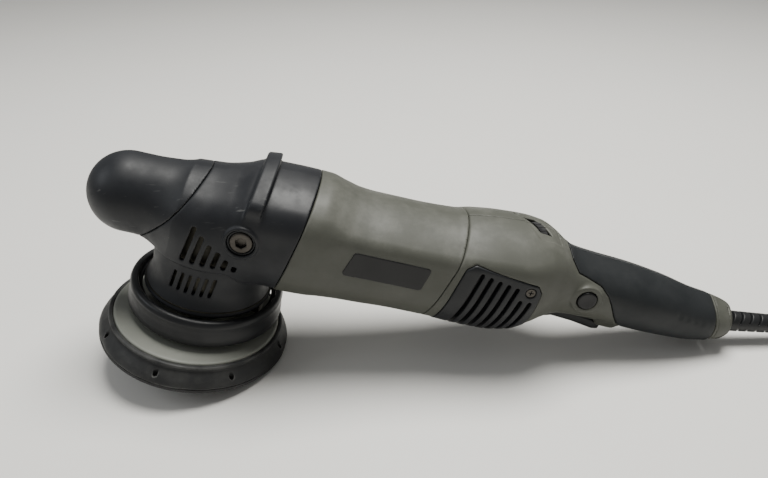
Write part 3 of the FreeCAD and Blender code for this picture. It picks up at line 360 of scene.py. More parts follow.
def plastic(name, base, shade, rough, grain=900.0, grain_depth=0.00006, wear=None, dust=None, scuffs=0.0,
            gloss=0.32):
    """Moulded plastic or rubber: uneven colour, fine grain, worn edges, dust on top and light scuffs."""
    graph = Graph(name)
    cloud = graph.ramp(graph.noise(18.0, 5.0, 0.6), 0.3, 0.7)
    colour = graph.mix(cloud, base, shade)
    rough_low, rough_high = rough
    roughness = graph.ramp(graph.noise(45.0, 6.0, 0.65), 0.3, 0.72, rough_low, rough_high)
    if dust:
        dust_colour, dust_share = dust
        patches = graph.ramp(graph.noise(30.0, 8.0, 0.7), 0.42, 0.72, 0.0, dust_share)
        facing = graph.ramp(graph.up(), 0.0, 0.9, 0.35, 1.0)
        colour = graph.mix(graph.math("MULTIPLY", patches, facing), colour, dust_colour)
    if scuffs:
        scratches = graph.noise(60.0, 3.0, 0.5, SCRATCH_STRETCH)
        streaks = graph.ramp(scratches, 0.66, 0.74, 0.0, scuffs)
        spots = graph.ramp(graph.noise(9.0, 2.0, 0.5), 0.5, 0.68)
        colour = graph.mix(graph.math("MULTIPLY", streaks, spots), colour, SCUFF_GREY)
    if wear:
        wear_colour, low, high, share = wear
        convex = graph.edges(low, high)
        broken = graph.ramp(graph.noise(70.0, 5.0), 0.35, 0.65, 0.0, share)
        worn = graph.math("MULTIPLY", convex, broken)
        colour = graph.mix(worn, colour, wear_colour)
    fine = graph.noise(grain, 2.0, 0.6)
    graph.bump(fine, 0.35, grain_depth)
    return graph.finish(colour, roughness, Specular_IOR_Level=gloss)


def metal(name, base, shade, rough, scale=220.0, bump=0.00003):
    graph = Graph(name)
    cloud = graph.ramp(graph.noise(35.0, 6.0, 0.65), 0.35, 0.65)
    colour = graph.mix(cloud, base, shade)
    roughness = graph.ramp(graph.noise(scale, 4.0, 0.6, (1.0, 1.0, 9.0, 0.0, 0.0, 0.0)), 0.3, 0.7, *rough)
    graph.bump(graph.noise(scale * 4.0, 2.0), 0.3, bump)
    return graph.finish(colour, roughness, Metallic=1.0)


GREY_DUST = ((0.17, 0.17, 0.15), 0.38)
BLACK_DUST = ((0.03, 0.032, 0.035), 0.25)
MATERIALS = {
    "grey_housing": plastic("grey_housing", (0.074, 0.076, 0.063), (0.065, 0.067, 0.056), (0.46, 0.6),
                            wear=((0.2, 0.198, 0.175), 0.52, 0.6, 0.5), dust=GREY_DUST),
    "soft_cover": plastic("soft_cover", (0.0075, 0.0082, 0.0105), (0.012, 0.0132, 0.016), (0.40, 0.60),
                          grain=1400.0, wear=((0.07, 0.07, 0.068), 0.53, 0.6, 0.6), dust=BLACK_DUST,
                          scuffs=0.3),
    "black_plastic": plastic("black_plastic", (0.009, 0.0098, 0.0115), (0.014, 0.015, 0.0165), (0.38, 0.55),
                             wear=((0.06, 0.06, 0.058), 0.53, 0.6, 0.5), dust=BLACK_DUST),
    "grip_rubber": plastic("grip_rubber", (0.0085, 0.0105, 0.012), (0.0125, 0.0145, 0.016), (0.5, 0.66),
                           grain=1100.0, wear=((0.05, 0.05, 0.05), 0.52, 0.6, 0.4),
                           dust=((0.035, 0.037, 0.038), 0.35)),
    # shroud_rubber: its base colour is set darker than the other black rubbers as painted shade, standing in for
    # the shade that falls on the ring under the head
    "shroud_rubber": plastic("shroud_rubber", (0.006, 0.0065, 0.0078), (0.0095, 0.0102, 0.0118), (0.30, 0.46),
                             dust=((0.06, 0.06, 0.057), 0.22)),
    "urethane": plastic("urethane", (0.011, 0.0115, 0.0125), (0.024, 0.0245, 0.025), (0.45, 0.7), grain=500.0,
                        grain_depth=0.00015, wear=((0.13, 0.13, 0.125), 0.512, 0.57, 0.9),
                        dust=((0.085, 0.085, 0.08), 0.45), scuffs=0.5),
    "plate_grey": plastic("plate_grey", (0.24, 0.248, 0.22), (0.21, 0.216, 0.19), (0.4, 0.55),
                          wear=((0.4, 0.4, 0.37), 0.53, 0.62, 0.6), dust=((0.32, 0.32, 0.29), 0.2)),
    "hook_nylon": plastic("hook_nylon", (0.03, 0.03, 0.031), (0.05, 0.05, 0.052), (0.75, 0.95), grain=2500.0,
                          grain_depth=0.0006),
    "steel": metal("steel", (0.56, 0.56, 0.56), (0.46, 0.46, 0.47), (0.22, 0.4)),
    "bolt_steel": metal("bolt_steel", (0.085, 0.078, 0.07), (0.045, 0.04, 0.034), (0.4, 0.58)),
    "cast_alloy": metal("cast_alloy", (0.1, 0.094, 0.075), (0.055, 0.052, 0.044), (0.45, 0.65), 400.0,
                        0.00012),
    "copper": metal("copper", (0.72, 0.36, 0.2), (0.55, 0.24, 0.12), (0.28, 0.45), 900.0, 0.0002),
    "brass": metal("brass", (0.72, 0.55, 0.24), (0.6, 0.43, 0.17), (0.25, 0.4)),
    "laminations": metal("laminations", (0.22, 0.22, 0.23), (0.14, 0.14, 0.15), (0.4, 0.6)),
    "carbon": plastic("carbon", (0.02, 0.02, 0.02), (0.035, 0.035, 0.035), (0.5, 0.7)),
    "board_green": plastic("board_green", (0.012, 0.09, 0.035), (0.02, 0.12, 0.05), (0.3, 0.45)),
    "gloss_black": plastic("gloss_black", (0.006, 0.006, 0.007), (0.009, 0.009, 0.01), (0.34, 0.44),
                           grain_depth=0.00001, wear=((0.08, 0.08, 0.08), 0.53, 0.62, 0.5)),
    "cord_rubber": plastic("cord_rubber", (0.009, 0.0095, 0.0105), (0.014, 0.015, 0.016), (0.36, 0.5),
                           grain=700.0, dust=((0.06, 0.06, 0.056), 0.2)),
}

record = frame["record"]
slot_of = {part["node"]: part["material_slot"] for part in record["subparts"]}
for node, piece in frame["nodes"].items():
    piece.data.materials.clear()
    piece.data.materials.append(MATERIALS[slot_of[node]])


def shell_piece(name, field, low, high, step, nodes, body="tool_body", slot=None):
    """A distance-field piece that stands for CAD nodes and takes their slot."""
    slot = slot or slot_of[nodes[0]]
    return field_piece(name, field, low, high, step, body, nodes, MATERIALS[slot])


# ------------------------------------------------------------------ housing form

AXIS_Z = 90.0
HEAD_LEAN = math.tan(math.radians(12.0))
REAR_LEAN = math.tan(math.radians(13.0))
TAIL_LEAN = math.tan(math.radians(-12.0))
KNOB_LEAN = math.tan(math.radians(36.6))
HEAD_SEAM = 50.0
REAR_SEAM = 146.0
TAIL_SEAM = 337.0
KNOB_SEAM = (-27.5, 94.0)
WALL = 2.6

# x, top, bottom, half width of the whole housing's sections
STATIONS = np.array([
    (-46.0, 115.0, 68.0, 23.5),
    (-22.0, 114.0, 67.0, 24.5),
    (-4.0, 116.2, 62.0, 28.0),
    (10.0, 123.0, 57.0, 35.0),
    (22.0, 128.6, 53.5, 39.2),
    (40.0, 130.0, 52.2, 40.0),
    (57.0, 129.6, 51.8, 40.0),
    (68.0, 127.0, 51.8, 38.9),
    (79.0, 124.9, 52.6, 37.4),
    (96.0, 124.2, 53.6, 36.6),
    (120.0, 124.2, 54.8, 36.5),
    (148.0, 125.6, 54.8, 36.8),
    (160.0, 128.4, 54.4, 37.8),
    (178.0, 130.9, 54.6, 38.6),
    (196.0, 132.0, 58.0, 38.2),
    (207.0, 131.2, 65.0, 36.4),
    (215.0, 128.8, 69.6, 33.0),
    (222.0, 125.4, 71.0, 29.0),
    (230.0, 122.4, 71.4, 26.2),
    (246.0, 121.0, 71.4, 25.0),
    (270.0, 119.6, 70.8, 24.8),
    (296.0, 116.6, 69.8, 24.0),
    (322.0, 112.0, 69.6, 21.8),
    (336.0, 110.8, 71.0, 20.0),
    (352.0, 108.6, 72.6, 18.6),
])


def station(x, column):
    """A section size at x, by a monotone cubic through the stations."""
    at, value = STATIONS[:, 0], STATIONS[:, column]
    rise = np.diff(value) / np.diff(at)
    grade = np.zeros(len(at))
    same = rise[:-1] * rise[1:] > 0
    grade[1:-1][same] = 2 * rise[:-1][same] * rise[1:][same] / (rise[:-1][same] + rise[1:][same])
    x = np.clip(x, at[0], at[-1])
    i = np.clip(np.searchsorted(at, x) - 1, 0, len(at) - 2)
    width = at[i + 1] - at[i]
    t = (x - at[i]) / width
    h00, h10 = (1 + 2 * t) * (1 - t) ** 2, t * (1 - t) ** 2
    h01, h11 = t * t * (3 - 2 * t), t * t * (t - 1)
    return h00 * value[i] + h10 * width * grade[i] + h01 * value[i + 1] + h11 * width * grade[i + 1]


def barrel(x, y, z):
    """The housing's skin: upright flanks, sloping shoulders, a soft crown and a curved-in belly."""
    x = x - (z - AXIS_Z) * HEAD_LEAN * step_up(x, 30.0, 45.0) * step_up(-x, -100.0, -80.0)
    top, bottom, half = station(x, 1), station(x, 2), station(x, 3)
    middle, height = (top + bottom) / 2, (top - bottom) / 2
    y = np.abs(y)
    up = z - middle
    round_share = step_up(x, 206.0, 236.0)
    distance = y - half
    slant_u, slant_v = 0.42 * height, 0.56 * half
    shoulder = ((y - 0.44 * half) * slant_u + (up - height) * slant_v) / np.hypot(slant_u, slant_v)
    sole_u, sole_v = 0.5 * height, 0.5 * half
    sole = ((y - sole_v) * sole_u + (-up - height) * sole_v) / np.hypot(sole_u, sole_v)
    soft = 9.0 + 6.0 * round_share
    crisp = 4.5 * step_up(x, 60.0, 78.0) * step_up(-x, -212.0, -192.0)
    distance = smooth_max(distance, shoulder, soft - crisp)
    distance = smooth_max(distance, sole, soft + 3.0)
    distance = smooth_max(distance, up - height, soft + 3.0)
    return smooth_max(distance, -up - height, soft + 3.0)


KNOB_RADIUS = 25.5
KNOB_Z = 91.5
KNOB_X = -55.0
CASE_RADIUS = 38.6
SOCKET = (20.7, 95.5)


def head_form(x, y, z):
    """Knob, gear case and barrel grown together."""
    knob = capsule(x, y, z, (KNOB_X, 0, KNOB_Z), (0, 0, KNOB_Z), KNOB_RADIUS)
    case = np.hypot(x, y) - CASE_RADIUS + step_up(-z, -66.0, -56.0) * 2.0
    case = smooth_max(case, z - 111.0, 26.0)
    case = smooth_max(case, 40.0 - z, 2.0)
    tube = np.maximum(barrel(x, y, z), -12.0 - x)
    form = smooth_min(knob, tube, 16.0)
    return smooth_min(form, case, 12.0)


def knob_side(x, z):
    """Positive behind the grip cap's slanting, slightly bowed joint."""
    bow = 3.0 * np.cos(np.clip((z - KNOB_SEAM[1]) / 30.0, -1.0, 1.0) * math.pi / 2)
    return (x - KNOB_SEAM[0] - bow - (z - KNOB_SEAM[1]) * KNOB_LEAN) / math.hypot(1.0, KNOB_LEAN)


def behind(x, z, at, lean):
    """Positive behind a leaning joint that crosses the motor axis at one place."""
    return (x - at - (z - AXIS_Z) * lean) / math.hypot(1.0, lean)


def head_seam(x, z):
    """Positive behind the joint between the head cover and the motor housing."""
    return behind(x, z, HEAD_SEAM, HEAD_LEAN)


def rear_seam(x, z):
    return behind(x, z, REAR_SEAM, REAR_LEAN)


def tail_seam(x, z):
    return behind(x, z, TAIL_SEAM, TAIL_LEAN)


def socket_reach(x, z):
    """Distance from the axis of the side-handle sockets."""
    return np.hypot(x - SOCKET[0], z - SOCKET[1])


def vent(x, z, foot, head, radius):
    """Distance in the XZ plane to a slanted slot."""
    du, dv = head[0] - foot[0], head[1] - foot[1]
    along = np.clip(((x - foot[0]) * du + (z - foot[1]) * dv) / (du * du + dv * dv), 0.0, 1.0)
    return np.hypot(x - foot[0] - along * du, z - foot[1] - along * dv) - radius


UPPER_LENGTHS = (22.0, 17.5, 13.0, 9.5, 5.0, 1.5)
UPPER_PITCH = 6.2
UPPER_FOOT = (-12.3, 74.6)
LOWER_COUNT = 6
LOWER_PITCH = 4.9
LOWER_FOOT = (-18.0, 50.4)


def upper_vents(x, z):
    distance = np.full(x.shape, np.inf)
    for index, length in enumerate(UPPER_LENGTHS):
        foot = (UPPER_FOOT[0] + index * UPPER_PITCH, UPPER_FOOT[1])
        distance = np.minimum(distance, vent(x, z, foot, (foot[0] + 0.23 * length, foot[1] + length), 1.5))
    return distance


def lower_vents(x, z):
    distance = np.full(x.shape, np.inf)
    for index in range(LOWER_COUNT):
        foot = (LOWER_FOOT[0] + index * LOWER_PITCH, LOWER_FOOT[1])
        distance = np.minimum(distance, vent(x, z, foot, (foot[0] + 2.4, foot[1] + 12.0), 0.95))
    return distance


def shell_of(distance, wall=WALL):
    """A hollow skin of a closed form."""
    return np.maximum(distance, -(distance + wall))


# ------------------------------------------------------------------ head pieces


FIN = (27.2, 130.0)
COVER_EDGE = 69.4
COVER_REAR = 43.0


def cover_field(x, y, z):
    """Head cover with its cross rib, side bosses, vents and bolt wells."""
    form = head_form(x, y, z)
    reach = socket_reach(x, z)
    ridge = 5.8 * step_up(z, 106.0, 122.0) - 1.0
    fin = smooth_max(form - ridge, np.abs(x - FIN[0] - (z - FIN[1]) * 0.16) - 4.6, 1.6)
    boss = smooth_max(form - 1.3, reach - 10.6, 1.2)
    form_out = smooth_min(form, fin, 1.6)
    form_out = smooth_min(form_out, np.where(np.abs(y) > 20, boss, FAR), 1.0)
    skin = np.maximum(form_out, -(form + WALL))
    skin = smooth_max(skin, 0.16 - knob_side(x, z), 0.6)
    skin = smooth_max(skin, head_seam(x, z) + 0.25, 0.8)
    edge = COVER_EDGE - 6.6 * step_up(x, 13.0, 27.0)
    skin = smooth_max(skin, np.where(x > COVER_REAR, -FAR, edge - z), 1.0)
    skin = np.maximum(skin, -upper_vents(x, z))
    well = np.where(np.abs(y) > 20, 8.6 - reach, -FAR)
    return smooth_max(skin, well, 0.8)


shell_piece("head_cover_skin", cover_field, (-58.0, -46.0, 50.0), (66.0, 46.0, 141.0), 0.7, ["head_cover"])


def cap_field(x, y, z):
    skin = shell_of(head_form(x, y, z), 3.6)
    return smooth_max(skin, knob_side(x, z) + 0.16, 0.6)


shell_piece("palm_knob", cap_field, (-86.0, -32.0, 54.0), (6.0, 32.0, 124.0), 0.75, ["front_grip_cap"])


def neck_line(z):
    """The neck's radius by height: a waist that flares to its foot."""
    return 36.8 + 5.4 * step_up(-z, -53.0, -34.0) ** 1.3


def neck_field(x, y, z):
    distance = (np.hypot(x, y) - neck_line(z)) * 0.92
    skin = shell_of(distance, 2.4)
    skin = smooth_max(skin, 37.6 - z, 0.8)
    skin = smooth_max(skin, z - 69.0, 0.8)
    skin = smooth_max(skin, -lower_vents(x, z), 0.4)
    motor_arm = 29.4 - np.hypot(y, z - AXIS_Z)
    return np.maximum(skin, np.where(x > 0, motor_arm, -FAR))


shell_piece("neck_skin", neck_field, (-50.0, -50.0, 35.0), (50.0, 50.0, 72.0), 0.6, ["neck_cover"])

# ------------------------------------------------------------------ motor housing


def motor_field(x, y, z):
    skin = shell_of(barrel(x, y, z))
    skin = smooth_max(skin, 0.25 - head_seam(x, z), 0.8)
    return smooth_max(skin, rear_seam(x, z) + 0.2, 0.7)


shell_piece("motor_housing_skin", motor_field, (40.0, -42.0, 48.0), (152.0, 42.0, 134.0), 0.8,
            ["motor_housing"])

LABEL = [(88.4, 101.6), (132.2, 101.2), (129.8, 89.2), (84.6, 89.0)]


def label_field(x, y, z):
    plate = polygon(x, z, LABEL) - 2.2
    form = barrel(x, y, z)
    return smooth_max(np.maximum(form - 0.45, -(form + 0.2)), plate, 0.5)


for name, side in (("left", -1), ("right", 1)):
    low_y, high_y = sorted((side * 30.0, side * 42.0))
    shell_piece(f"name_plate_{name}", label_field, (76.0, low_y, 82.0), (140.0, high_y, 108.0), 0.45,
                [f"side_label_{name}"])

# ------------------------------------------------------------------ rear housing, grips, grilles, tail

GRIP_EDGE = [(216.0, 150.0), (221.0, 128.0), (225.0, 119.0), (230.4, 112.8), (239.0, 110.4), (247.0, 108.0),
             (253.5, 103.0), (258.6, 96.0), (264.0, 88.0), (271.0, 80.0), (281.0, 73.0), (286.0, 60.0),
             (400.0, 60.0), (400.0, 150.0)]
GRILLE = [(160.6, 109.4), (199.0, 104.8), (201.4, 101.8), (201.4, 46.0), (147.6, 46.0), (157.6, 106.6)]
WINDOW = [(-7.8, 7.6), (-0.6, 7.6), (7.6, -7.6), (0.6, -7.6)]
BUTTON = (240.0, 98.0)
DIAL_X = 200.0
GRILLE_COUNT = 7
GRILLE_PITCH = 6.1
GRILLE_FOOT = (156.6, 56.0)
GRILLE_SCREW = (197.4, 102.6)


def button_reach(x, z):
    """Distance from the lock button's axis."""
    return np.hypot(x - BUTTON[0], z - BUTTON[1])


def grille_vents(x, z):
    distance = np.full(x.shape, np.inf)
    for index in range(GRILLE_COUNT):
        foot = (GRILLE_FOOT[0] + index * GRILLE_PITCH, GRILLE_FOOT[1])
        top = 107.4 - 1.1 * index if index < 5 else 94.5
        distance = np.minimum(distance, vent(x, z, foot, (foot[0] + 0.16 * (top - foot[1]), top), 1.3))
    return distance


def handle_form(x, y, z):
    """Rear housing and handle without their soft and black parts."""
    form = barrel(x, y, z)
    lobe = rounded_box(x, y, z, (268.5, 0, 77.0), (7.5, 9.0, 6.8), 3.0)
    form = smooth_min(form, lobe, 5.0)
    ring = np.maximum(button_reach(x, z) - 9.8, -25.0 - y)
    ring = np.maximum(ring, y + 12.0)
    return smooth_min(form, ring, 2.4)


def handle_field(x, y, z):
    """Rear housing and handle, with room for the grip, grilles, trigger, button and dial."""
    outer = handle_form(x, y, z)
    form = barrel(x, y, z)
    grip = polygon(x, z, GRIP_EDGE)
    grille = polygon(x, z, GRILLE) - 3.2
    inner_wall = WALL + 2.6 * step_up(x, 210.0, 222.0)
    skin = np.maximum(outer, -(form + inner_wall))
    skin = np.maximum(skin, -smooth_max(grip - 0.15, -(form + 2.5), 0.3))
    belly = 8.4 - np.abs(y)
    recess = np.maximum(np.maximum(grille - 0.25, belly), -(form + 2.0))
    skin = smooth_max(skin, -recess, 0.5)
    skin = np.maximum(skin, -np.maximum(np.maximum(grille + 1.8, belly + 2.0), -(form + 9.0)))
    pocket = button_reach(x, z) - 6.8
    skin = smooth_max(skin, np.where(y < 0, -pocket, -FAR), 0.7)
    trigger_slot = rounded_box(x, y, z, (243.0, 0, 70.0), (27.4, 7.2, 11.0), 2.0)
    skin = smooth_max(skin, -trigger_slot, 0.8)
    panel = polygon(x, y, [(188.1, 12.0), (210.5, 7.0), (213.5, -10.0), (200.5, -13.0)]) - 2.6
    panel = np.where(z > 100.0, panel, FAR)
    skin = smooth_max(skin, -smooth_max(panel, -(form + 0.7), 0.4), 0.5)
    window = polygon(x - DIAL_X, y, WINDOW) - 0.7
    skin = smooth_max(skin, np.where(z > 110.0, -window, -FAR), 0.5)
    skin = smooth_max(skin, 0.2 - rear_seam(x, z), 0.7)
    skin = smooth_max(skin, tail_seam(x, z) + 0.2, 0.5)
    return smooth_max(skin, 0.06 - np.abs(y), 0.35)


for name, side in (("left", -1), ("right", 1)):
    low_y, high_y = sorted((0.0, side * 43.0))

    def half_field(x, y, z, side=side):
        return np.maximum(handle_field(x, y, z), -side * y)

    shell_piece(f"handle_{name}", half_field, (138.0, low_y - 2.0, 48.0), (346.0, high_y + 2.0, 134.0), 0.8,
                [f"handle_shell_{name}"])


def grip_field(x, y, z):
    form = barrel(x, y, z)
    zone = polygon(x, z, GRIP_EDGE) + 0.15
    skin = smooth_max(np.maximum(form - 0.25, -(form + 2.4)), zone, 0.9)
    for index in range(5):
        groove_x = 301.0 + index * 6.2
        level = 23.8 - 0.55 * index
        high = (groove_x, level - 0.8, 112.0 - index)
        low = (groove_x + 6.0, level, 99.0 - index)
        groove = capsule(x, np.abs(y), z, high, low, 2.3)
        skin = smooth_max(skin, -groove, 1.6)
    return smooth_max(skin, tail_seam(x, z) + 0.25, 0.8)


for name, side in (("left", -1), ("right", 1)):
    low_y, high_y = sorted((0.0, side * 30.0))

    def half_grip(x, y, z, side=side):
        return smooth_max(grip_field(x, y, z), 0.04 - side * y, 0.3)

    shell_piece(f"grip_skin_{name}", half_grip, (212.0, low_y - 2.0, 66.0), (352.0, high_y + 2.0, 128.0),
                0.75, [f"grip_{name}"])


def grille_field(x, y, z):
    form = barrel(x, y, z)
    outline = polygon(x, z, GRILLE) - 3.2
    pan = 3.4 * step_up(-np.maximum(outline, 8.7 - np.abs(y)), 2.1, 2.5)
    skin = smooth_max(np.maximum(form - 0.5, -(form + 1.95 + pan)), outline, 0.8)
    skin = smooth_max(skin, 8.7 - np.abs(y), 0.8)
    screw = np.hypot(x - GRILLE_SCREW[0], z - GRILLE_SCREW[1])
    skin = smooth_max(skin, -smooth_max(screw - 3.5, -(form + 0.7), 0.3), 0.5)
    return smooth_max(skin, -np.maximum(grille_vents(x, z), -(form + 4.3)), 0.6)


for name, side in (("left", -1), ("right", 1)):
    low_y, high_y = sorted((side * 4.0, side * 43.0))
    shell_piece(f"grille_skin_{name}", grille_field, (145.0, low_y, 50.0), (208.0, high_y, 120.0), 0.6,
                [f"vent_grille_{name}"])

TAIL_Z = 89.8
TAIL_END = 355.0
RELIEF = (351.0, 91.0)
RELIEF_LENGTH = 52.0
relief_turn = math.radians(9.0)


def relief_axes(x, y, z):
    """Distance along the strain relief from the tail, height across it, and radius."""
    u = (x - RELIEF[0]) * math.cos(relief_turn) + (z - RELIEF[1]) * math.sin(relief_turn)
    v = -(x - RELIEF[0]) * math.sin(relief_turn) + (z - RELIEF[1]) * math.cos(relief_turn)
    return u, v, np.hypot(v, y)


def tail_field(x, y, z):
    radius = np.hypot(y, z - TAIL_Z)
    form = smooth_max(barrel(x, y, z), x - TAIL_END, 13.0)
    skin = np.maximum(form, -np.maximum(radius - 15.0, x - 347.0))
    skin = smooth_max(skin, 0.25 - tail_seam(x, z), 0.8)
    groove = np.maximum(np.abs(tail_seam(x, z) - 2.2) - 0.3, -(form + 0.4))
    skin = smooth_max(skin, -groove, 0.3)
    return smooth_max(skin, 7.5 - relief_axes(x, y, z)[2], 0.8)


shell_piece("tail_end", tail_field, (326.0, -24.0, 66.0), (359.0, 24.0, 116.0), 0.6, ["tail_cap"])


def relief_field(x, y, z):
    """Tapered boot with slanting cuts above and below a smooth middle band."""
    u, v, radius = relief_axes(x, y, z)
    size = 7.35 - 1.2 * np.clip(u / RELIEF_LENGTH, 0.0, 1.0)
    form = smooth_max(radius - size, u - RELIEF_LENGTH, 1.2)
    form = smooth_max(form, -12.0 - u, 0.8)
    for side in (-1.0, 1.0):
        pitch = 6.6
        slant = u - side * v * 0.55 - 2.0
        place = np.clip(np.round(slant / pitch), 0, 6) * pitch
        cut = np.maximum(np.abs(slant - place) - 0.75, 1.9 - side * v)
        cut = np.maximum(cut, 4.9 - radius)
        form = smooth_max(form, -cut, 0.5)
    return np.maximum(form, 4.02 - radius + np.where(u > 40.0, 0.0, -9.0))


shell_piece("strain_boot", relief_field, (336.0, -9.0, 78.0), (406.0, 9.0, 110.0), 0.4, ["strain_relief"])

# ------------------------------------------------------------------ plate and shroud

ORBIT = (-3.0, -7.0)


def lathe(name, outline, centre, body, node, slot, steps=192):
    """Turns an outline of (radius, height) points about an axis along the tool's Z."""
    outline = np.array(outline, float)
    angles = np.arange(steps) * 2 * math.pi / steps
    radius = outline[None, :, 0]
    x = centre[0] + radius * np.cos(angles)[:, None]
    y = centre[1] + radius * np.sin(angles)[:, None]
    z = np.broadcast_to(outline[None, :, 1], x.shape)
    points = np.stack([x, y, z], -1).reshape(-1, 3)
    count = len(outline)
    ring, spot = np.meshgrid(np.arange(steps), np.arange(count), indexing="ij")
    after, beside = (ring + 1) % steps, (spot + 1) % count
    corners = ((ring, spot), (after, spot), (after, beside), (ring, beside))
    faces = np.stack([row * count + column for row, column in corners], -1)
    piece = mesh_piece(name, row_points(points), faces.reshape(-1, 4))
    return dress(piece, body, [node], MATERIALS[slot])


CORNER_REACH = 1.1
CORNER_SHARE = 0.45


def corner_cut(corner, other):
    """The share of a side that a rounded corner takes."""
    return min(CORNER_SHARE, CORNER_REACH / np.linalg.norm(other - corner))


def curve_through(corners, per_corner=7):
    """Rounds an outline's corners by short quadratic curves."""
    points = []
    corners = [np.array(corner, float) for corner in corners]
    for index, corner in enumerate(corners):
        before, after = corners[index - 1], corners[(index + 1) % len(corners)]
        start = corner + (before - corner) * corner_cut(corner, before)
        end = corner + (after - corner) * corner_cut(corner, after)
        for t in np.linspace(0.0, 1.0, per_corner):
            points.append((1 - t) ** 2 * start + 2 * t * (1 - t) * corner + t * t * end)
    return points


SHROUD = [
    (47.4, 21.0), (49.6, 21.0), (50.5, 22.4), (50.5, 26.0), (49.6, 31.0), (49.7, 33.6), (50.0, 35.6),
    (48.8, 38.4), (46.6, 39.3), (44.8, 38.4), (44.4, 35.6), (42.0, 34.8), (42.0, 32.8), (46.6, 31.8),
]
# the shroud's material carries painted shade in its darkened base colour
lathe("shroud", curve_through(SHROUD), (0.0, 0.0), "tool_body", "shroud_ring", "shroud_rubber")

PAD_HOLES = 8
HOLE_START = -56.0
HOLE_RING = 59.0
HOLE_RADIUS = 1.5


def pad_field(x, y, z):
    """Urethane body: a cone with a rolled edge, a bead round the disc, small holes and a nibbled rim."""
    u, v = x - ORBIT[0], y - ORBIT[1]
    radius = np.hypot(u, v)
    angle = np.arctan2(v, u)
    waves = 0.22 * np.sin(7 * angle + 1.0) * np.sin(3 * angle)
    nibbles = 0.16 * np.sin(23 * angle) * np.sin(5 * angle + 2.0)
    worn = waves + nibbles
    rim = radius - 62.4 - worn
    cone = (radius - 62.6) * 0.78 + (z - 4.6) * 0.62 + 0.25 * worn
    form = smooth_max(smooth_max(rim, cone, 2.4), 2.05 - z, 1.6)
    bead = np.hypot(radius - 55.4, z - 14.2) - 1.5
    form = smooth_min(form, bead, 0.9)
    form = smooth_max(form, z - 15.6, 0.8)
    form = np.maximum(form, -np.maximum(radius - 54.1, 13.0 - z))
    form = np.maximum(form, 11.0 - radius)
    for index in range(PAD_HOLES):
        turn = math.radians(HOLE_START + 360.0 / PAD_HOLES * index)
        hole = np.hypot(u - HOLE_RING * math.cos(turn), v - HOLE_RING * math.sin(turn)) - HOLE_RADIUS
        form = smooth_max(form, -np.maximum(hole, 4.6 - z), 0.6)
    return form


shell_piece("pad_cone", pad_field, (-68.0, -72.0, 0.0), (62.0, 58.0, 18.0), 0.65, ["pad_body"],
            "backing_plate")

DISC = [(9.0, 13.0), (53.9, 13.0), (53.9, 15.8), (52.8, 16.6), (24.0, 16.6), (20.0, 17.0), (16.0, 18.8),
        (9.0, 18.8)]
lathe("plate_top", curve_through(DISC), ORBIT, "backing_plate", "plate_disc", "plate_grey")

# ------------------------------------------------------------------ controls and bolts

TRIGGER = [(218.4, 78.0), (225.0, 78.6), (230.0, 76.6), (246.0, 75.4), (264.6, 72.6), (267.4, 70.4),
           (266.6, 66.0), (262.0, 65.2), (246.0, 67.8), (231.0, 69.0), (224.0, 66.6), (219.6, 65.8),
           (217.0, 68.0), (217.0, 74.4)]


def trigger_field(x, y, z):
    paddle = polygon(x, z, TRIGGER)
    side = np.abs(y) - 6.6
    form = smooth_max(paddle, side, 3.0)
    notch = rounded_box(x, y, z, (248.5, 0, 79.5), (2.6, 3.2, 3.4), 0.6)
    return smooth_max(form, -notch, 0.5)


shell_piece("trigger_paddle_skin", trigger_field, (214.0, -9.0, 62.0), (271.0, 9.0, 82.0), 0.5, ["trigger"],
            "trigger_paddle")


def button_field(x, y, z):
    reach = button_reach(x, z)
    dish = np.sqrt(reach ** 2 + (y + 60.0) ** 2) - 34.4
    form = smooth_max(reach - 6.3, -26.0 - y, 1.6)
    form = smooth_max(form, y + 14.3, 0.6)
    return smooth_max(form, -dish, 0.4)


shell_piece("lock_button_skin", button_field, (231.0, -29.0, 89.0), (249.0, -12.0, 107.0), 0.35,
            ["lock_button"], "lock_pin", "gloss_black")


def bolt_field(x, y, z):
    """Socket-head bolt in each side boss."""
    depth = np.abs(y)
    reach = socket_reach(x, z)
    head = smooth_max(smooth_max(reach - 6.9, depth - 40.0, 1.4), 36.2 - depth, 0.5)
    shank = np.maximum(np.maximum(reach - 3.95, depth - 37.0), 23.0 - depth)
    form = np.minimum(head, shank)
    u, v = x - SOCKET[0], z - SOCKET[1]
    hexagon = np.full(x.shape, -FAR)
    for turn in range(6):
        angle = math.radians(60.0 * turn + 12.0)
        hexagon = np.maximum(hexagon, u * math.cos(angle) + v * math.sin(angle) - 3.1)
    return smooth_max(form, -np.maximum(hexagon, 37.2 - depth), 0.5)


def socket_ring_field(x, y, z):
    """Black collar that the bolt sits in."""
    depth = np.abs(y)
    reach = socket_reach(x, z)
    collar = smooth_max(smooth_max(reach - 8.4, depth - 39.4, 0.8), 7.15 - reach, 0.6)
    seat = np.maximum(reach - 8.4, depth - 37.4)
    form = np.maximum(np.minimum(collar, seat), 37.05 - depth)
    return np.maximum(form, 4.1 - reach)


for name, field, node in (("side_bolt", bolt_field, "side_handle_bolts"),
                          ("socket_collar", socket_ring_field, "side_socket_rings")):
    for side_name, side in (("left", -1), ("right", 1)):
        low_y, high_y = sorted((side * 21.0, side * 42.0))
        shell_piece(f"{name}_{side_name}", field, (10.0, low_y, 85.0), (31.0, high_y, 106.0), 0.3, [node])

# ------------------------------------------------------------------ cord

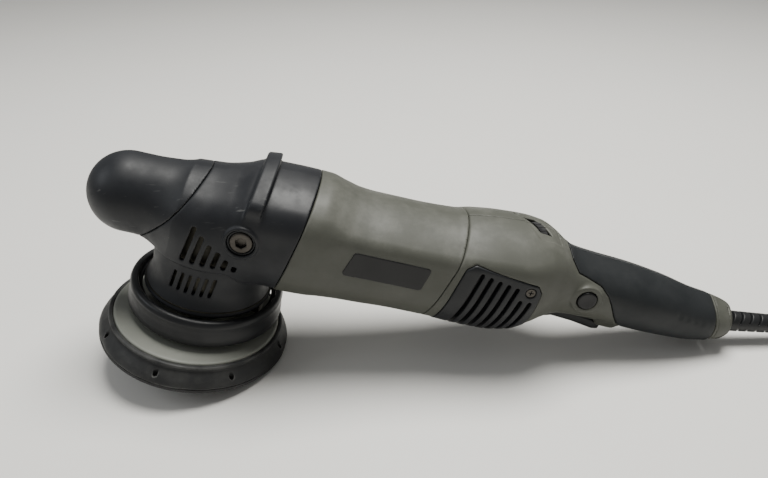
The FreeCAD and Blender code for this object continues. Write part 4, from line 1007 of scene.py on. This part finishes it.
CORD = 0.008
tip_x = RELIEF[0] + RELIEF_LENGTH * math.cos(relief_turn)
tip_z = RELIEF[1] + RELIEF_LENGTH * math.sin(relief_turn)
tip = row_point(tip_x, 0.0, tip_z)
way = (tool_x * math.cos(relief_turn) + tool_z * math.sin(relief_turn)).normalized()
COIL_CENTRE = Vector((tip.x + 0.104, tip.y + 0.056, 0.0))
COIL_MIDDLE = 0.044
FLOOR_Z = 0.0041
ROUTE = [
    tip - way * 0.006,
    tip + way * 0.014,
    Vector((tip.x + 0.036, tip.y, 0.008)),
    Vector((tip.x + 0.060, tip.y + 0.0006, 0.0052)),
    Vector((tip.x + 0.082, tip.y - 0.0002, FLOOR_Z)),
]
PITCH = CORD * 1.012
LAYERS = 4
TURNS_IN_LAYER = 3.5
POINTS_PER_TURN = 20
# the share of a layer's turns that lie flat, before the cord climbs to the next layer
FLAT_SHARE = 0.86


def coil_points():
    """Layers of flat spirals, in and out by turns, each one cord's width above the last."""
    points = []
    angle = -math.pi / 2
    outer = COIL_MIDDLE + PITCH * TURNS_IN_LAYER / 2 - PITCH * 0.25
    inner = outer - PITCH * (TURNS_IN_LAYER - 0.5)
    step = 2 * math.pi / POINTS_PER_TURN
    for layer in range(LAYERS):
        start, end = (outer, inner) if layer % 2 == 0 else (inner, outer)
        count = int(TURNS_IN_LAYER * POINTS_PER_TURN)
        for index in range(count):
            share = index / count
            climb = 0.0
            if layer < LAYERS - 1:
                climb = min(1.0, max(0.0, (share - FLAT_SHARE) / (1.0 - FLAT_SHARE)))
            radius = start + (end - start) * min(1.0, share / FLAT_SHARE)
            height = FLOOR_Z + (layer + climb * climb * (3 - 2 * climb)) * PITCH
            points.append(COIL_CENTRE + Vector((radius * math.cos(angle), radius * math.sin(angle), height)))
            angle += step
    return points


def cord_curve(name, points, radius):
    """One NURBS spline, with a round bevel scaled by the points' own radius."""
    curve = bpy.data.curves.new(name, "CURVE")
    curve.dimensions = "3D"
    curve.bevel_depth = 1.0
    curve.bevel_resolution = 6
    curve.resolution_u = 6
    curve.use_fill_caps = True
    spline = curve.splines.new("NURBS")
    spline.points.add(len(points) - 1)
    for knot, point in zip(spline.points, points):
        knot.co = (*point, 1.0)
        knot.radius = radius
    spline.order_u = 3
    spline.use_endpoint_u = True
    piece = bpy.data.objects.new(name, curve)
    bpy.context.scene.collection.objects.link(piece)
    return piece


cord = cord_curve("mains_cord", ROUTE + coil_points(), CORD / 2)
dress(cord, "tool_body", ["cord_tube", "cord_coil"], MATERIALS["cord_rubber"])

TIE_HEIGHT = 0.0172


def tie_band():
    """A strap round the coil's turns, as a thin loop with rounded corners."""
    angle = math.pi / 2
    radial = Vector((math.cos(angle), math.sin(angle), 0.0))
    tangent = Vector((-math.sin(angle), math.cos(angle), 0.0))
    middle = COIL_CENTRE + radial * COIL_MIDDLE + Vector((0.0, 0.0, TIE_HEIGHT))
    half_radial, half_height, corner, thick, width = 0.0166, 0.0160, 0.008, 0.0012, 0.004
    loop = []
    for quarter, (side, level) in enumerate(((1, 1), (-1, 1), (-1, -1), (1, -1))):
        for part in range(9):
            turn = (quarter + part / 8) * math.pi / 2
            loop.append((side * (half_radial - corner), level * (half_height - corner), turn))
    points = []
    for grow, offset in ((0.0, -width), (thick, -width), (thick, width), (0.0, width)):
        for u, v, turn in loop:
            reach = corner + grow
            points.append(middle + radial * (u + reach * math.cos(turn)) + tangent * offset
                          + Vector((0.0, 0.0, v + reach * math.sin(turn))))
    count = len(loop)
    faces = [(row * count + i, row * count + (i + 1) % count, (row + 1) % 4 * count + (i + 1) % count,
              (row + 1) % 4 * count + i) for row in range(4) for i in range(count)]
    return dress(mesh_piece("coil_tie", points, np.array(faces)), "tool_body", [], MATERIALS["black_plastic"])


tie = tie_band()

# ------------------------------------------------------------------ stage, light and camera


def plain_material(name, colour, roughness):
    graph = Graph(name)
    cloud = graph.ramp(graph.noise(3.0, 3.0), 0.3, 0.7)
    shade = tuple(value * 0.985 for value in colour)
    return graph.finish(graph.mix(cloud, colour, shade), roughness)


bpy.ops.mesh.primitive_plane_add(size=12.0, location=(0.0, 0.0, 0.0))
floor = bpy.context.object
floor.name = "floor"
floor.data.materials.append(plain_material("floor_white", (0.80, 0.79, 0.76), 0.5))

world = bpy.data.worlds.new("studio")
bpy.context.scene.world = world
world.use_nodes = True
background = world.node_tree.nodes["Background"]
background.inputs["Color"].default_value = (0.86, 0.86, 0.85, 1.0)
background.inputs["Strength"].default_value = 0.29


def area_light(name, place, target, size, power, colour):
    data = bpy.data.lights.new(name, "AREA")
    data.shape = "DISK"
    data.size = size
    data.energy = power
    data.color = colour
    lamp = bpy.data.objects.new(name, data)
    bpy.context.scene.collection.objects.link(lamp)
    lamp.location = place
    lamp.rotation_euler = (Vector(target) - Vector(place)).to_track_quat("-Z", "Y").to_euler()


area_light("overhead", (0.15, 0.3, 1.5), (0.0, 0.0, 0.0), 0.9, 40.0, (1.0, 0.99, 0.95))
area_light("side", (-1.2, -0.2, 0.9), (0.0, 0.0, 0.05), 0.8, 3.5, (0.93, 0.97, 1.0))

CAMERA_AHEAD = 0.359
CAMERA_SIDE = 0.1296
CAMERA_HEIGHT = 0.2929
CAMERA_DIP = 29.9
LENS = 30.47
SENSOR = 36.0
plate = row_point(ORBIT[0], ORBIT[1], 0.0)
camera_data = bpy.data.cameras.new("camera")
camera_data.sensor_width = SENSOR
camera_data.lens = LENS
camera_data.clip_start = 0.01
camera = bpy.data.objects.new("camera", camera_data)
bpy.context.scene.collection.objects.link(camera)
camera.location = (plate.x + CAMERA_SIDE, plate.y - CAMERA_AHEAD, CAMERA_HEIGHT)
camera.rotation_euler = (math.radians(90.0 - CAMERA_DIP), 0.0, 0.0)
bpy.context.scene.camera = camera
